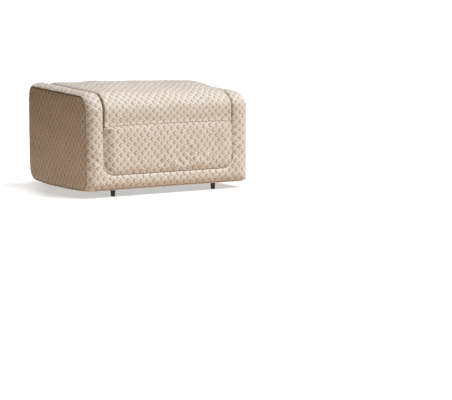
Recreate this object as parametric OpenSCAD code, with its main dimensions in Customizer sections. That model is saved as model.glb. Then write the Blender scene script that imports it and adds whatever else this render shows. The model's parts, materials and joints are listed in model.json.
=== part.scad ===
// Ottoman sleeper: a padded ottoman that unfolds into a single bed.
// X runs across the width, the front looks along -Y, and Z = 0 is the floor.
// The ottoman is drawn closed. Swing links lift the folded bed up and forwards,
// and its three sections open in a Z while their leg hoops drop to the floor.

/* [Casing] */
// Width over both arms
body_w = 980; // [900:1:1180]
// Depth of the arms from front to back
body_d = 700; // [640:1:840]
// Gap between the floor and the cover
floor_gap = 38; // [30:1:46]
// Thickness of an arm
arm_t = 91; // [75:1:110]
// Radius of an arm's top front corner
arm_front_r = 95; // [60:1:110]
// Radius of an arm's top back corner
arm_back_r = 120; // [80:1:130]
// Radius of an arm's bottom front corner
arm_low_front_r = 45; // [36:1:55]
// Radius of an arm's bottom back corner
arm_low_back_r = 110; // [80:1:120]
// Rounding of an arm's outer edge
arm_edge_r = 12; // [8:1:18]
// Rounding of the edges that face the front opening
groove_edge_r = 22; // [14:1:24]
// Crown of an arm's outer face
arm_crown = 4; // [0:0.5:8]
// Thickness of the arm and apron boards
board_t = 12; // [9:1:15]
// Cover and wadding round a board's edges
board_margin = 24; // [23:1:30]

/* [Front apron and panel] */
// Height of the apron's padded bar
apron_h = 83; // [70:1:95]
// Depth of the apron from its front face to the base frame
apron_t = 50; // [48:1:60]
// Radius of the opening's lower corners
opening_r = 60; // [40:1:80]
// Set-back of the front panel from the arms
panel_recess = 12; // [6:1:20]
// Thickness of the front panel
panel_t = 34; // [28:1:40]
// Thickness of the front panel's board
panel_board_t = 10; // [8:1:12]
// Gap round the front panel
panel_gap = 6; // [4:1:9]
// Rounding of the front panel's edges
panel_edge_r = 10; // [6:1:12]
// Crown of the front panel
panel_crown = 3; // [0:0.5:6]

/* [Back] */
// Thickness of the back panel
back_t = 20; // [18:1:26]
// Thickness of the back board
back_board_t = 10; // [8:1:12]
// Angle of the back cover's lower edge round the corner
back_low_deg = 40; // [20:1:45]

/* [Seat cushion] */
// Thickness of the seat cushion at its edges
cushion_t = 66.7; // [55:0.1:90]
// Extra height in the middle of the seat cushion
cushion_crown = 14; // [4:1:24]
// How far the cushion and the back panel stand proud of the arms
cushion_proud = 4; // [0:0.5:8]
// Gap between the cushion and an arm
cushion_gap = 6; // [4:1:9]
// How far the front flap hangs below the foot section
flap_drop = 6; // [2:1:10]
// Rounding of the cushion's ends
cushion_edge_r = 14; // [8:1:18]

/* [Base frame] */
// Height of a foot
foot_h = 62; // [55:1:75]
// Radius of a foot at its top
foot_top_r = 15; // [12:1:18]
// Radius of a foot on the floor
foot_low_r = 11; // [8:1:14]
// Distance of a foot's centre from the outer side of an arm
foot_inset = 180; // [140:1:260]
// Height of the base rails
base_rail_h = 40; // [36:1:50]
// Width of the base rails
base_rail_w = 30; // [26:1:36]
// Wall of the base rails
base_wall = 2; // [1.5:0.5:3]
// Radius of the rubber buffers
buffer_r = 7; // [5:0.5:7.4]
// Distance of a buffer from a base rail's end
buffer_inset = 50; // [30:1:80]

/* [Swing links] */
// Height between the base rails and the head section
link_room = 46; // [42:1:60]
// Length of a swing link between its pivots
link_l = 160; // [140:1:180]
// Angle of the links above the floor when closed
link_rest_deg = 20; // [18:1:24]
// Angle that the links turn through
link_turn_deg = 60; // [50:1:62]
// Thickness of a link
link_t = 5; // [4:0.5:6]
// Radius of a link's eye
link_eye_r = 15; // [13:1:17]
// Radius of the link pins
link_pin_r = 5; // [4:0.5:6]
// Distance of the front upper pivot from the section's front end
front_pivot_in = 230; // [215:1:260]
// Distance of the rear upper pivot from the section's back end
rear_pivot_in = 86; // [60:1:110]
// Radius of the links' cross tube
link_tube_r = 10; // [8:1:12]
// Distance of the cross tube from the lower pivot
link_tube_at = 60; // [45:1:80]

/* [Bed sections] */
// Height of a section's rails
rail_h = 20; // [19:1:26]
// Width of a section's rails
rail_w = 18; // [16:1:22]
// Wall of a section's tubes
tube_wall = 1.5; // [1:0.5:2.5]
// Slats in a section
slat_count = 6; // [4:1:7]
// Width of a slat
slat_w = 60; // [45:1:65]
// Thickness of a slat
slat_t = 7; // [6:0.5:10]
// Thickness of a mattress section at its crown
mattress_t = 82; // [60:1:95]
// Drop of a mattress face from its crown to its edge
mattress_crown = 5; // [2:1:8]
// Gap between the faces of two folded mattress sections
mattress_gap = 4; // [2:0.5:8]
// Gap between the frames of two folded sections
frame_gap = 4; // [3.5:0.5:6]
// Thickness of the hinge plates
plate_t = 4; // [3:0.5:5]
// Radius of a hinge plate's eye
hinge_eye_r = 9; // [8:0.5:9]
// Radius of the hinge pins
hinge_pin_r = 4; // [3:0.5:5]
// Distance of a hinge axis beyond the mattress ends
hinge_out = 2; // [1.5:0.5:3]

/* [Leg hoops] */
// Radius of a leg hoop's tube
leg_r = 8; // [7:0.5:8]
// Radius of a hoop's bends
leg_bend_r = 40; // [25:1:60]
// Radius of the pins that carry the hoops
leg_pin_r = 4; // [3:0.5:5]
// Radius of the rubber glides
glide_r = 10.5; // [9.5:0.5:11]
// Length of a glide
glide_l = 45; // [30:1:60]

/* [Hidden] */

// Overrun of a cut past the face it opens
over = 1;
// Clearance of a pin in the piece that turns on it
run_fit = 0.06;
// Clearance between a pin's head or a washer face and what turns beside it
side_play = 0.3;
// Gap between soft faces, and between a soft face and what it lies on
soft_gap = 0.3;
// Gap between a turning link and the plate beside it
link_gap = 1;
// Gap between two hinge plates that turn on each other
plate_gap = 0.5;
// Gap between a hinge eye and the panel beyond it
eye_gap = 3;
// Gap between a rivet head and an arm
head_gap = 4;
// Gap between a mattress and the rivet heads beside it
mattress_side_gap = 1.5;
// Thickness of the heads of pins and rivets
head_t = 2.5;
// How far a head stands out round its pin
head_rim = 3;
// Thickness of the flange of a tube's end cap
cap_t = 2;
// Length of the plug of a tube's end cap
cap_plug_l = 9;
// Rounding of a mattress's long edges
mattress_edge_r = 16;
// How far a mattress draws in between its corners
mattress_draw = 4;
// Depth of the sewn tufts in a mattress
tuft_depth = 3;
// Half the number of tuft rows across a mattress and along it
tuft_rows_x = 2;
tuft_rows_y = 1.5;
// The step of a crowned face between its rim and its middle: the share of the crown that
// is still missing there, and the share of the rim's draw-in
crown_left_share = 0.25;
crown_in_share = 0.6;

// Casing
half_w = body_w / 2;
half_d = body_d / 2;
inner_x = half_w - arm_t;
apron_top = floor_gap + apron_h;

// Heights of the folded bed
head_z = foot_h + base_rail_h + link_room;
section_t = rail_h + slat_t + mattress_t;
middle_z = head_z + section_t + mattress_gap;
foot_z = middle_z + section_t + frame_gap;
stack_top = foot_z + section_t;
arm_h = stack_top + soft_gap + cushion_t;
seam_z = foot_z - flap_drop;

// Lengths of the folded bed
end_room = eye_gap + hinge_eye_r + hinge_out;
panel_y = -half_d + panel_recess;
section_y0 = panel_y + panel_t + end_room;
section_y1 = half_d - back_t - end_room;
section_l = section_y1 - section_y0;
fold_a_y = section_y0 - hinge_out;
fold_a_z = middle_z - mattress_gap / 2;
fold_b_y = section_y1 + hinge_out;
fold_b_z = foot_z - frame_gap / 2;

// Places across the bed, from the arms inwards
plate_out_x = inner_x - head_gap - head_t - side_play;
plate_mid_x = plate_out_x - plate_t - plate_gap;
outer_rail_x = plate_out_x - plate_t;
inner_rail_x = plate_mid_x - plate_t;
mattress_x = inner_rail_x - head_t - mattress_side_gap;
// Distance of a slat's end from its rail's outer face
slat_in = 4;

// Length of a hinge plate's foot on its rail, and of its neck at the tall fold
plate_foot_l = 100;
plate_neck_l = 40;

// Rails of the middle section stop short of both folds
eye_clear = 3;
middle_in = hinge_out + hinge_eye_r + eye_clear;

// Brackets on the base rails that carry the links
bracket_t = 5;
bracket_half_l = 28;
bracket_margin = 3;
boss_r = 12;
// Lugs on the head rails
lug_r = 13;
lug_half_l = 26;

// Swing links
lug_x = inner_rail_x - rail_w - plate_t;
link_x = lug_x - link_gap - link_t;
base_rail_x = inner_x - base_rail_w;
low_pivot_z = foot_h + base_rail_h / 2;
high_pivot_z = low_pivot_z + link_l * sin(link_rest_deg);
link_reach = link_l * cos(link_rest_deg);
front_high_y = section_y0 + front_pivot_in;
rear_high_y = section_y1 - rear_pivot_in;
front_low_y = front_high_y - link_reach;
rear_low_y = rear_high_y - link_reach;
lift_z = link_l * (sin(link_rest_deg + link_turn_deg) - sin(link_rest_deg));

// Base frame
base_y0 = -half_d + apron_t;
base_y1 = half_d - apron_t;
// Height of the straight collar at the top of a foot
foot_collar_t = 6;

// Leg hoops
// How far a hoop's eye stands out round its tube
leg_eye_rim = 0.5;
// Gap between a hoop's leg and the rail beside it
leg_side_gap = 1.5;
// Gap between a hoop's eye and the cross tube
leg_tube_gap = 3;
// Gap between a glide and the floor when the bed is open
leg_floor_gap = 1;
// Distance of a glide's middle from the middle of the bed
glide_spread = 200;
leg_eye_r = leg_r + leg_eye_rim;
leg_l = head_z + lift_z + leg_eye_r - glide_r - leg_floor_gap;
middle_leg_y = section_y1 - middle_in - rail_w - leg_tube_gap - leg_eye_r;
foot_leg_y = section_y0 + cap_t + rail_w + leg_tube_gap + leg_eye_r;
middle_leg_z = middle_z + section_t - leg_eye_r;
foot_leg_z = foot_z + leg_eye_r;
middle_leg_x = outer_rail_x - rail_w - leg_side_gap - leg_r;
foot_leg_x = inner_rail_x - rail_w - leg_side_gap - leg_r;

// Front panel's hinge
leaf_t = 1.5;
leaf_half_l = 300;
knuckle_r = 3.4;
knuckle_count = 7;
// Radius of the rod through the knuckles
hinge_rod_r = 1.6;
// Clearance between the two leaves' knuckles
knuckle_play = 0.4;
panel_axis_z = apron_top + leaf_t + knuckle_play;
panel_z0 = panel_axis_z + leaf_t + knuckle_play + leaf_t;
panel_z1 = seam_z - panel_gap;
panel_x = inner_x - panel_gap;
panel_corner_r = opening_r - panel_gap;
// Radius of the panel's top corners
panel_top_r = 14;
// Distance of the panel's board from the panel's edges
panel_board_in = 7;
// Distance of the apron's board from the apron's edges
apron_board_in = 10;

// Arm bolts
bolt_r = 4;
bolt_head_r = 7.5;
bolt_head_t = 5;
// How far a bolt reaches past the arm's board
bolt_grip = 9;
// Distance of the front bolt from the front link bracket
bolt_clear = 12;
// Distance of the rear bolt from the end of the base rail
bolt_rear_in = 70;

// Back: the posts are the steel angles that carry the back board
back_post_w = 40;
back_post_t = 5;
back_post_h = 150;
back_post_x = 240;
// Distance of the back board from the back cover's edges
back_board_gap = 8;
back_top = stack_top - panel_gap;

// Points along a rounding, and rings round an edge
arc_n = 6;
edge_n = 3;
$fn = 48;

// Colours
COVER = [0.81, 0.75, 0.68];
TICKING = [0.93, 0.91, 0.87];
STEEL = [0.24, 0.24, 0.25];
ZINC = [0.66, 0.67, 0.69];
PLYWOOD = [0.78, 0.64, 0.46];
BEECH = [0.84, 0.70, 0.50];
RUBBER = [0.08, 0.08, 0.08];
DARK_WOOD = [0.17, 0.12, 0.09];

// Points of an arc round [a, b], from one angle to another
function arc(a, b, r, from, to, n = arc_n) =
    [for (i = [0 : n]) let (t = from + (to - from) * i / n) [a + r * cos(t), b + r * sin(t)]];

// Outline of an arm in Y and Z, drawn in by e
function arm_outline(e) = concat(
    arc(-half_d + arm_low_front_r, floor_gap + arm_low_front_r, arm_low_front_r - e, 180, 270),
    arc(half_d - arm_low_back_r, floor_gap + arm_low_back_r, arm_low_back_r - e, 270, 360),
    arc(half_d - arm_back_r, arm_h - arm_back_r, arm_back_r - e, 0, 90),
    arc(-half_d + arm_front_r, arm_h - arm_front_r, arm_front_r - e, 90, 180));

// Steps of a quarter-round edge of radius r, each as [depth, draw-in], from the face inwards
function edge_steps(r) =
    [for (i = [0 : edge_n]) let (t = 90 * i / edge_n) [r * (1 - cos(t)), r * (1 - sin(t))]];

function reversed(list) = [for (i = [len(list) - 1 : -1 : 0]) list[i]];

// A closed skin over rings of equal length. Rings run along the last axis of their
// points, and look anticlockwise from its far end. A cap is one flat face, or, with
// strips, quads between the two halves of the ring.
module loft(rings, strips = false) {
    n = len(rings[0]);
    m = len(rings);
    half = n / 2;
    sides = [for (k = [0 : m - 2], i = [0 : n - 1]) let (
        a = k * n + i, b = k * n + (i + 1) % n, c = a + n, d = b + n)
        each [[a, c, d], [a, d, b]]];
    last = (m - 1) * n;
    near_cap = strips
        ? [for (i = [0 : half - 2]) each [[i, i + 1, n - 2 - i], [i, n - 2 - i, n - 1 - i]]]
        : [[for (i = [0 : n - 1]) i]];
    far_cap = strips
        ? [for (f = near_cap) [for (i = [2 : -1 : 0]) f[i] + last]]
        : [[for (i = [n - 1 : -1 : 0]) i + last]];
    polyhedron([for (r = rings) each r], concat(near_cap, sides, far_cap), convexity = 6);
}

// Children drawn in Y and Z, and extruded along X
module along_x(x0, l) {
    translate([x0, 0, 0]) rotate([90, 0, 90]) linear_extrude(l) children();
}

module both_sides() {
    children();
    mirror([1, 0, 0]) children();
}

// A box between two corners
module block(p, q) {
    translate(p) cube(q - p);
}

// A rectangular tube along Y
module tube_y(x0, x1, y0, y1, z0, z1, wall) {
    difference() {
        block([x0, y0, z0], [x1, y1, z1]);
        block([x0 + wall, y0 - over, z0 + wall], [x1 - wall, y1 + over, z1 - wall]);
    }
}

// A rectangular tube along X
module tube_x(x0, x1, y0, y1, z0, z1, wall) {
    difference() {
        block([x0, y0, z0], [x1, y1, z1]);
        block([x0 - over, y0 + wall, z0 + wall], [x1 + over, y1 - wall, z1 - wall]);
    }
}

// A round bar or bore along X
module rod_x(x0, x1, y, z, r) {
    translate([x0, y, z]) rotate([0, 90, 0]) cylinder(h = x1 - x0, r = r);
}

// A round tube along X
module pipe_x(x0, x1, y, z, r, wall) {
    difference() {
        rod_x(x0, x1, y, z, r);
        rod_x(x0 - over, x1 + over, y, z, r - wall);
    }
}

// Base frame

// A turned foot: a collar under the rail and a tapered leg
module foot(x, y) {
    translate([x, y, 0]) rotate_extrude()
        polygon([[0, 0], [foot_low_r - over, 0], [foot_low_r, over],
            [foot_top_r, foot_h - foot_collar_t], [foot_top_r, foot_h], [0, foot_h]]);
}

module feet() {
    color(DARK_WOOD) both_sides() {
        foot(half_w - foot_inset, base_y0 + base_rail_w / 2);
        foot(half_w - foot_inset, base_y1 - base_rail_w / 2);
    }
}

module base_side_rails() {
    color(STEEL) both_sides() difference() {
        tube_y(base_rail_x, inner_x, base_y0 + cap_t, base_y1 - cap_t,
            foot_h, foot_h + base_rail_h, base_wall);
        for (y = bolt_places()) rod_x(base_rail_x - over, inner_x + over, y, low_pivot_z, bolt_r);
    }
}

module base_cross_rails() {
    color(STEEL) for (y = [base_y0, base_y1 - base_rail_w])
        tube_x(-base_rail_x, base_rail_x, y, y + base_rail_w,
            foot_h, foot_h + base_rail_h, base_wall);
}

// A tube's end cap: a flange flush with the tube, and a plug inside it. s is +1 where
// the flange looks along +Y.
module end_cap(x0, x1, y, z0, z1, wall, s) {
    block([x0, min(y, y - s * cap_t), z0], [x1, max(y, y - s * cap_t), z1]);
    block([x0 + wall, min(y, y - s * cap_plug_l), z0 + wall],
        [x1 - wall, max(y, y - s * cap_plug_l), z1 - wall]);
}

module base_end_caps() {
    color(RUBBER) both_sides() for (s = [-1, 1])
        end_cap(base_rail_x, inner_x, s > 0 ? base_y1 : base_y0, foot_h,
            foot_h + base_rail_h, base_wall, s);
}

// Rubber buffers that the head section rests on
module base_buffers() {
    x = (base_rail_x + inner_rail_x) / 2;
    color(RUBBER) both_sides() for (y = [base_y0 + buffer_inset, base_y1 - buffer_inset])
        translate([x, y, foot_h + base_rail_h]) cylinder(h = link_room - soft_gap, r = buffer_r);
}

module base_link_brackets() {
    boss_x = link_x + link_t + link_gap;
    color(STEEL) both_sides() for (y = [front_low_y, rear_low_y]) difference() {
        union() {
            block([base_rail_x - bracket_t, y - bracket_half_l, foot_h + bracket_margin],
                [base_rail_x, y + bracket_half_l, foot_h + base_rail_h - bracket_margin]);
            rod_x(boss_x, base_rail_x, y, low_pivot_z, boss_r);
        }
        rod_x(boss_x - over, base_rail_x + over, y, low_pivot_z, link_pin_r);
    }
}

// A headed pin along X, its head beside the link
module link_pin(y, z, end_x) {
    rod_x(link_x - side_play - head_t, link_x - side_play, y, z, link_pin_r + head_rim);
    rod_x(link_x - side_play - head_t, end_x, y, z, link_pin_r);
}

module base_link_pins() {
    color(ZINC) both_sides() for (y = [front_low_y, rear_low_y])
        link_pin(y, low_pivot_z, base_rail_x);
}

// Arms

// Flat outline of an arm board
module arm_board_shape() {
    e = board_margin;
    polygon([
        [-half_d + e, floor_gap + arm_low_front_r],
        [-half_d + arm_low_front_r, floor_gap + e],
        [half_d - arm_low_back_r, floor_gap + e],
        [half_d - e, floor_gap + arm_low_back_r],
        [half_d - e, arm_h - arm_back_r],
        [half_d - arm_back_r, arm_h - e],
        [-half_d + arm_front_r, arm_h - e],
        [-half_d + e, arm_h - arm_front_r]]);
    translate([-half_d + arm_low_front_r, floor_gap + arm_low_front_r]) circle(arm_low_front_r - e);
    translate([half_d - arm_low_back_r, floor_gap + arm_low_back_r]) circle(arm_low_back_r - e);
    translate([half_d - arm_back_r, arm_h - arm_back_r]) circle(arm_back_r - e);
    translate([-half_d + arm_front_r, arm_h - arm_front_r]) circle(arm_front_r - e);
}

// Places of the bolts along the base rails, clear of the link brackets
function bolt_places() = [front_low_y - bracket_half_l - bolt_clear,
    (front_low_y + rear_low_y) / 2, base_y1 - bolt_rear_in];

module arm_board() {
    difference() {
        along_x(inner_x, board_t) arm_board_shape();
        for (y = bolt_places())
            rod_x(inner_x - over, inner_x + board_t + over, y, low_pivot_z, bolt_r);
    }
}

module right_arm_board() {
    color(PLYWOOD) arm_board();
}

module left_arm_board() {
    color(PLYWOOD) mirror([1, 0, 0]) arm_board();
}

// Padded arm: rounded round its edges, crowned outside, with the board let in flush inside
module arm_pad() {
    inner = edge_steps(groove_edge_r);
    outer = reversed(edge_steps(arm_edge_r));
    crown_in = arm_low_front_r - over;
    steps = concat(
        [for (s = inner) [inner_x + s[0], s[1]]],
        [for (s = outer) [half_w - arm_crown - s[0], s[1]]],
        [[half_w - arm_crown * crown_left_share, crown_in * crown_in_share], [half_w, crown_in]]);
    difference() {
        loft([for (s = steps) [for (p = arm_outline(s[1])) [s[0], p[0], p[1]]]]);
        along_x(inner_x - over, board_t + over) arm_board_shape();
        for (y = bolt_places())
            rod_x(inner_x - over, inner_x + bolt_grip + board_t, y, low_pivot_z, bolt_r);
    }
}

module right_arm_pad() {
    color(COVER) arm_pad();
}

module left_arm_pad() {
    color(COVER) mirror([1, 0, 0]) arm_pad();
}

// Bolts that hold the arm boards to the base rails, with their heads inside
module arm_bolts() {
    color(ZINC) both_sides() for (y = bolt_places()) {
        rod_x(base_rail_x, inner_x + board_t + bolt_grip, y, low_pivot_z, bolt_r);
        translate([base_rail_x - bolt_head_t, y, low_pivot_z]) rotate([0, 90, 0])
            cylinder(h = bolt_head_t, r = bolt_head_r, $fn = 6);
    }
}

// Front apron

// Top edge of the apron in X and Z from left to right, drawn back by e from the opening
function apron_top_edge(e) =
    let (r = opening_r + e, x = inner_x - soft_gap, cx = inner_x - opening_r,
        cz = apron_top + opening_r, t = acos((x - cx) / r))
    concat(
        arc(-cx, cz, r, 180 + t, 270),
        arc(cx, cz, r, 270, 360 - t));

// Height of the apron's lower edge at a depth d behind its front face
function apron_low(d) = floor_gap + (d < arm_low_front_r
    ? arm_low_front_r - sqrt(pow(arm_low_front_r, 2) - pow(arm_low_front_r - d, 2)) : 0);

// The two edges of the apron at a depth d, drawn back by e, as one ring
function apron_ring(d, e) =
    let (top = apron_top_edge(e))
    [for (p = concat([for (q = top) [q[0], apron_low(d)]], reversed(top)))
        [p[0], -half_d + d, p[1]]];

module front_apron_pad() {
    front = edge_steps(groove_edge_r);
    depths = concat(front, [[arm_low_front_r, 0], [apron_t - soft_gap, 0]]);
    color(COVER) difference() {
        loft(reversed([for (s = depths) apron_ring(s[0], s[1])]), strips = true);
        apron_board_block(soft_gap);
    }
}

// The apron's board, with its back let through by a given overrun
module apron_board_block(past) {
    e = apron_board_in;
    block([-inner_x + e, -half_d + apron_t - board_t, floor_gap + e],
        [inner_x - e, -half_d + apron_t + past, apron_top]);
}

module front_apron_board() {
    color(PLYWOOD) apron_board_block(0);
}

// Knuckles of the front panel's hinge: every second one, from a given first one
module knuckles(first, bore) {
    step = 2 * leaf_half_l / knuckle_count;
    for (i = [first : 2 : knuckle_count - 1]) {
        x = -leaf_half_l + i * step;
        pipe_x(x + knuckle_play, x + step - knuckle_play, panel_y, panel_axis_z,
            knuckle_r, knuckle_r - bore);
    }
}

module front_hinge_lower() {
    back = -half_d + apron_t;
    color(STEEL) difference() {
        union() {
            knuckles(0, hinge_rod_r);
            difference() {
                block([-leaf_half_l, panel_y, apron_top], [leaf_half_l, back, apron_top + leaf_t]);
                knuckle_room(1);
            }
        }
        rod_x(-leaf_half_l - over, leaf_half_l + over, panel_y, panel_axis_z, hinge_rod_r);
    }
}

// Room for the other leaf's knuckles
module knuckle_room(first) {
    step = 2 * leaf_half_l / knuckle_count;
    for (i = [first : 2 : knuckle_count - 1]) {
        x = -leaf_half_l + i * step;
        rod_x(x - knuckle_play, x + step + knuckle_play, panel_y, panel_axis_z,
            knuckle_r + knuckle_play);
    }
}

module front_hinge_pin() {
    color(ZINC) rod_x(-leaf_half_l, leaf_half_l, panel_y, panel_axis_z, hinge_rod_r);
}

module front_hinge_upper() {
    z = panel_z0 - leaf_t;
    color(STEEL) difference() {
        union() {
            knuckles(1, hinge_rod_r + run_fit);
            difference() {
                block([-leaf_half_l, panel_y, z], [leaf_half_l, panel_y + panel_t, panel_z0]);
                knuckle_room(0);
            }
        }
        rod_x(-leaf_half_l - over, leaf_half_l + over, panel_y, panel_axis_z,
            hinge_rod_r + run_fit);
    }
}

// Front panel

module panel_board_shape() {
    e = panel_board_in;
    r = panel_corner_r - e;
    for (s = [-1, 1]) translate([s * (panel_x - panel_corner_r), panel_z0 + panel_corner_r])
        circle(r);
    polygon([
        [-panel_x + e, panel_z0 + panel_corner_r],
        [-panel_x + panel_corner_r, panel_z0 + e],
        [panel_x - panel_corner_r, panel_z0 + e],
        [panel_x - e, panel_z0 + panel_corner_r],
        [panel_x - e, panel_z1 - e],
        [-panel_x + e, panel_z1 - e]]);
}

// The panel's board, with its back let through by a given overrun. Its lower edge reaches
// down to the hinge leaf.
module panel_board_block(past) {
    back = panel_y + panel_t;
    translate([0, back + past, 0]) rotate([90, 0, 0]) linear_extrude(panel_board_t + past)
        panel_board_shape();
    block([-leaf_half_l, back - panel_board_t, panel_z0],
        [leaf_half_l, back + past, panel_z0 + 2 * panel_board_in]);
}

module front_panel_board() {
    color(PLYWOOD) panel_board_block(0);
}

module front_panel_pad() {
    front = edge_steps(panel_edge_r);
    steps = concat(
        [[0, panel_corner_r - over],
            [panel_crown * crown_left_share, panel_corner_r * crown_in_share]],
        [for (s = front) [panel_crown + s[0], s[1]]],
        [[panel_t, 0]]);
    color(COVER) difference() {
        loft(reversed([for (s = steps) [for (p = panel_outline(s[1]))
            [p[0], panel_y + s[0], p[1]]]]));
        panel_board_block(over);
    }
}

// Outline of the panel in X and Z, drawn in by e, which may pass its small top corners
function panel_outline(e) =
    let (r = max(panel_top_r - e, over), top = max(panel_top_r, e + over))
    concat(
        arc(-panel_x + panel_corner_r, panel_z0 + panel_corner_r, panel_corner_r - e, 180, 270),
        arc(panel_x - panel_corner_r, panel_z0 + panel_corner_r, panel_corner_r - e, 270, 360),
        arc(panel_x - top, panel_z1 - top, r, 0, 90, edge_n),
        arc(-panel_x + top, panel_z1 - top, r, 90, 180, edge_n));

// Back

// Side profile of the back cover: outer line, then inner line, both from the bottom up
function back_profile(e) =
    let (cy = half_d - arm_low_back_r, cz = floor_gap + arm_low_back_r,
        r = arm_low_back_r + cushion_proud, from = 360 - back_low_deg + atan(e / r),
        high_y = half_d - arm_back_r, high_z = arm_h - arm_back_r,
        high_r = arm_back_r + cushion_proud - e, to = asin((back_top - e - high_z) / high_r))
    concat(
        arc(cy, cz, r - e, from, 360), arc(high_y, high_z, high_r, 0, to),
        reversed(concat(arc(cy, cz, arm_low_back_r - back_t, from, 360),
            [for (i = [0 : arc_n]) [half_d - back_t,
                high_z + (back_top - e - high_z) * i / arc_n]])));

module back_pad() {
    x = inner_x - soft_gap;
    edge = panel_edge_r / 2;
    levels = [[-x, edge], [-x + edge, 0], [x - edge, 0], [x, edge]];
    color(COVER) difference() {
        loft([for (l = levels) [for (p = back_profile(l[1])) [l[0], p[0], p[1]]]], strips = true);
        back_board_block(over);
        both_sides() back_bracket();
    }
}

module back_board_block(past) {
    z0 = floor_gap + arm_low_back_r - back_board_t;
    block([-inner_x + back_board_gap, half_d - back_t - past, z0],
        [inner_x - back_board_gap, half_d - back_t + back_board_t, back_top - back_board_gap]);
}

module back_board() {
    color(PLYWOOD) back_board_block(0);
}

// A steel angle that carries the back board from the rear rail
module back_bracket() {
    z = foot_h + base_rail_h;
    y = half_d - back_t;
    block([back_post_x, base_y1 - base_rail_w, z], [back_post_x + back_post_w, y, z + back_post_t]);
    block([back_post_x, y - back_post_t, z], [back_post_x + back_post_w, y, z + back_post_h]);
}

module back_brackets() {
    color(STEEL) both_sides() back_bracket();
}

// Swing links

// A flat link from its lower pivot to its upper pivot
module link_bar(y) {
    difference() {
        translate([link_x, y, low_pivot_z]) rotate([link_rest_deg, 0, 0])
            along_x(0, link_t) {
                circle(link_eye_r);
                translate([link_l, 0]) circle(link_eye_r);
                translate([0, -link_eye_r]) square([link_l, 2 * link_eye_r]);
            }
        rod_x(link_x - over, link_x + link_t + over, y, low_pivot_z, link_pin_r + run_fit);
        rod_x(link_x - over, link_x + link_t + over, y + link_reach, high_pivot_z,
            link_pin_r + run_fit);
    }
}

module link_tube(y) {
    pipe_x(-link_x, link_x, y + link_tube_at * cos(link_rest_deg),
        low_pivot_z + link_tube_at * sin(link_rest_deg), link_tube_r, tube_wall);
}

module front_link_bars() {
    color(STEEL) both_sides() link_bar(front_low_y);
}

module front_link_tube() {
    color(STEEL) link_tube(front_low_y);
}

module rear_link_bars() {
    color(STEEL) both_sides() link_bar(rear_low_y);
}

module rear_link_tube() {
    color(STEEL) link_tube(rear_low_y);
}

// Bed sections

// Two side rails of a section. x is the rails' outer face, and z their underside.
module side_rails(x, y0, y1, z) {
    both_sides() tube_y(x - rail_w, x, y0 + cap_t, y1 - cap_t, z, z + rail_h, tube_wall);
}

module end_caps(x, y0, y1, z) {
    both_sides() {
        end_cap(x - rail_w, x, y0, z, z + rail_h, tube_wall, -1);
        end_cap(x - rail_w, x, y1, z, z + rail_h, tube_wall, 1);
    }
}

// Cross tubes between the side rails, at the given front faces
module cross_tubes(x, places, z) {
    for (y = places)
        tube_x(-x + rail_w, x - rail_w, y, y + rail_w, z, z + rail_h, tube_wall);
}

// Slats across the rails
module slats(x, z) {
    span = section_l - 2 * middle_in - slat_w;
    for (i = [0 : slat_count - 1]) {
        y = section_y0 + middle_in + span * i / (slat_count - 1);
        block([-x + slat_in, y, z], [x - slat_in, y + slat_w, z + slat_t]);
    }
}

// How far a mattress side is drawn in at v, from -1 to 1 along it
function draw_in(v) = mattress_draw * (1 - pow(v, 4));

// Depth of a mattress face below its crown
function face_dip(u, v) =
    mattress_crown * (1 - (1 - pow(u, 4)) * (1 - pow(v, 4)))
    + tuft_depth * pow(max(0, cos(180 * tuft_rows_x * u)), 4)
        * pow(max(0, cos(180 * tuft_rows_y * v)), 4) * (1 - pow(u, 8)) * (1 - pow(v, 8));

// A mattress section: crowned faces with sewn tufts, soft edges and drawn-in sides. z is
// its lowest face, and it is as long as the section.
module mattress(z) {
    nu = 18;
    nv = 14;
    hx = mattress_x;
    hy = section_l / 2;
    cy = (section_y0 + section_y1) / 2;
    cz = z + mattress_t / 2;
    // u and v run to the edge, with the last step over the soft edge
    function at(i, n) = let (t = 2 * i / n - 1) sign(t) * pow(abs(t), 0.8);
    function edge_in(u, v) = pow(max(abs(u), abs(v)), 12) * mattress_edge_r;
    function point(i, j, s) = let (u = at(i, nu), v = at(j, nv), k = edge_in(u, v) / 2)
        [u * (hx - draw_in(v) - k), cy + v * (hy - draw_in(u) - k),
            cz + s * (mattress_t / 2 - face_dip(u, v) - k)];
    function rim(i, j) = let (u = at(i, nu), v = at(j, nv))
        [u * (hx - draw_in(v)), cy + v * (hy - draw_in(u)), cz];
    border = concat(
        [for (i = [0 : nu - 1]) [i, 0]], [for (j = [0 : nv - 1]) [nu, j]],
        [for (i = [nu : -1 : 1]) [i, nv]], [for (j = [nv : -1 : 1]) [0, j]]);
    count = (nu + 1) * (nv + 1);
    n = len(border);
    function id(p) = p[0] * (nv + 1) + p[1];
    points = concat(
        [for (i = [0 : nu], j = [0 : nv]) point(i, j, -1)],
        [for (i = [0 : nu], j = [0 : nv]) point(i, j, 1)],
        [for (p = border) rim(p[0], p[1])]);
    under = [for (i = [0 : nu - 1], j = [0 : nv - 1]) let (
        a = id([i, j]), b = id([i + 1, j]), c = id([i + 1, j + 1]), d = id([i, j + 1]))
        each [[a, b, c], [a, c, d]]];
    upper = [for (f = under) [for (k = [2 : -1 : 0]) f[k] + count]];
    walls = [for (k = [0 : n - 1]) let (
        a = id(border[k]), b = id(border[(k + 1) % n]),
        c = 2 * count + k, d = 2 * count + (k + 1) % n)
        each [[a, c, d], [a, d, b], [c, a + count, b + count], [c, b + count, d]]];
    polyhedron(points, concat(under, upper, walls), convexity = 6);
}

// An eye on a fold axis, joined to a tab on the rail
module ear(axis_y, axis_z, tab_y0, tab_y1, z) {
    hull() {
        translate([axis_y, axis_z]) circle(hinge_eye_r, $fn = 32);
        translate([min(tab_y0, tab_y1), z]) square([abs(tab_y1 - tab_y0), rail_h]);
    }
}

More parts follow.
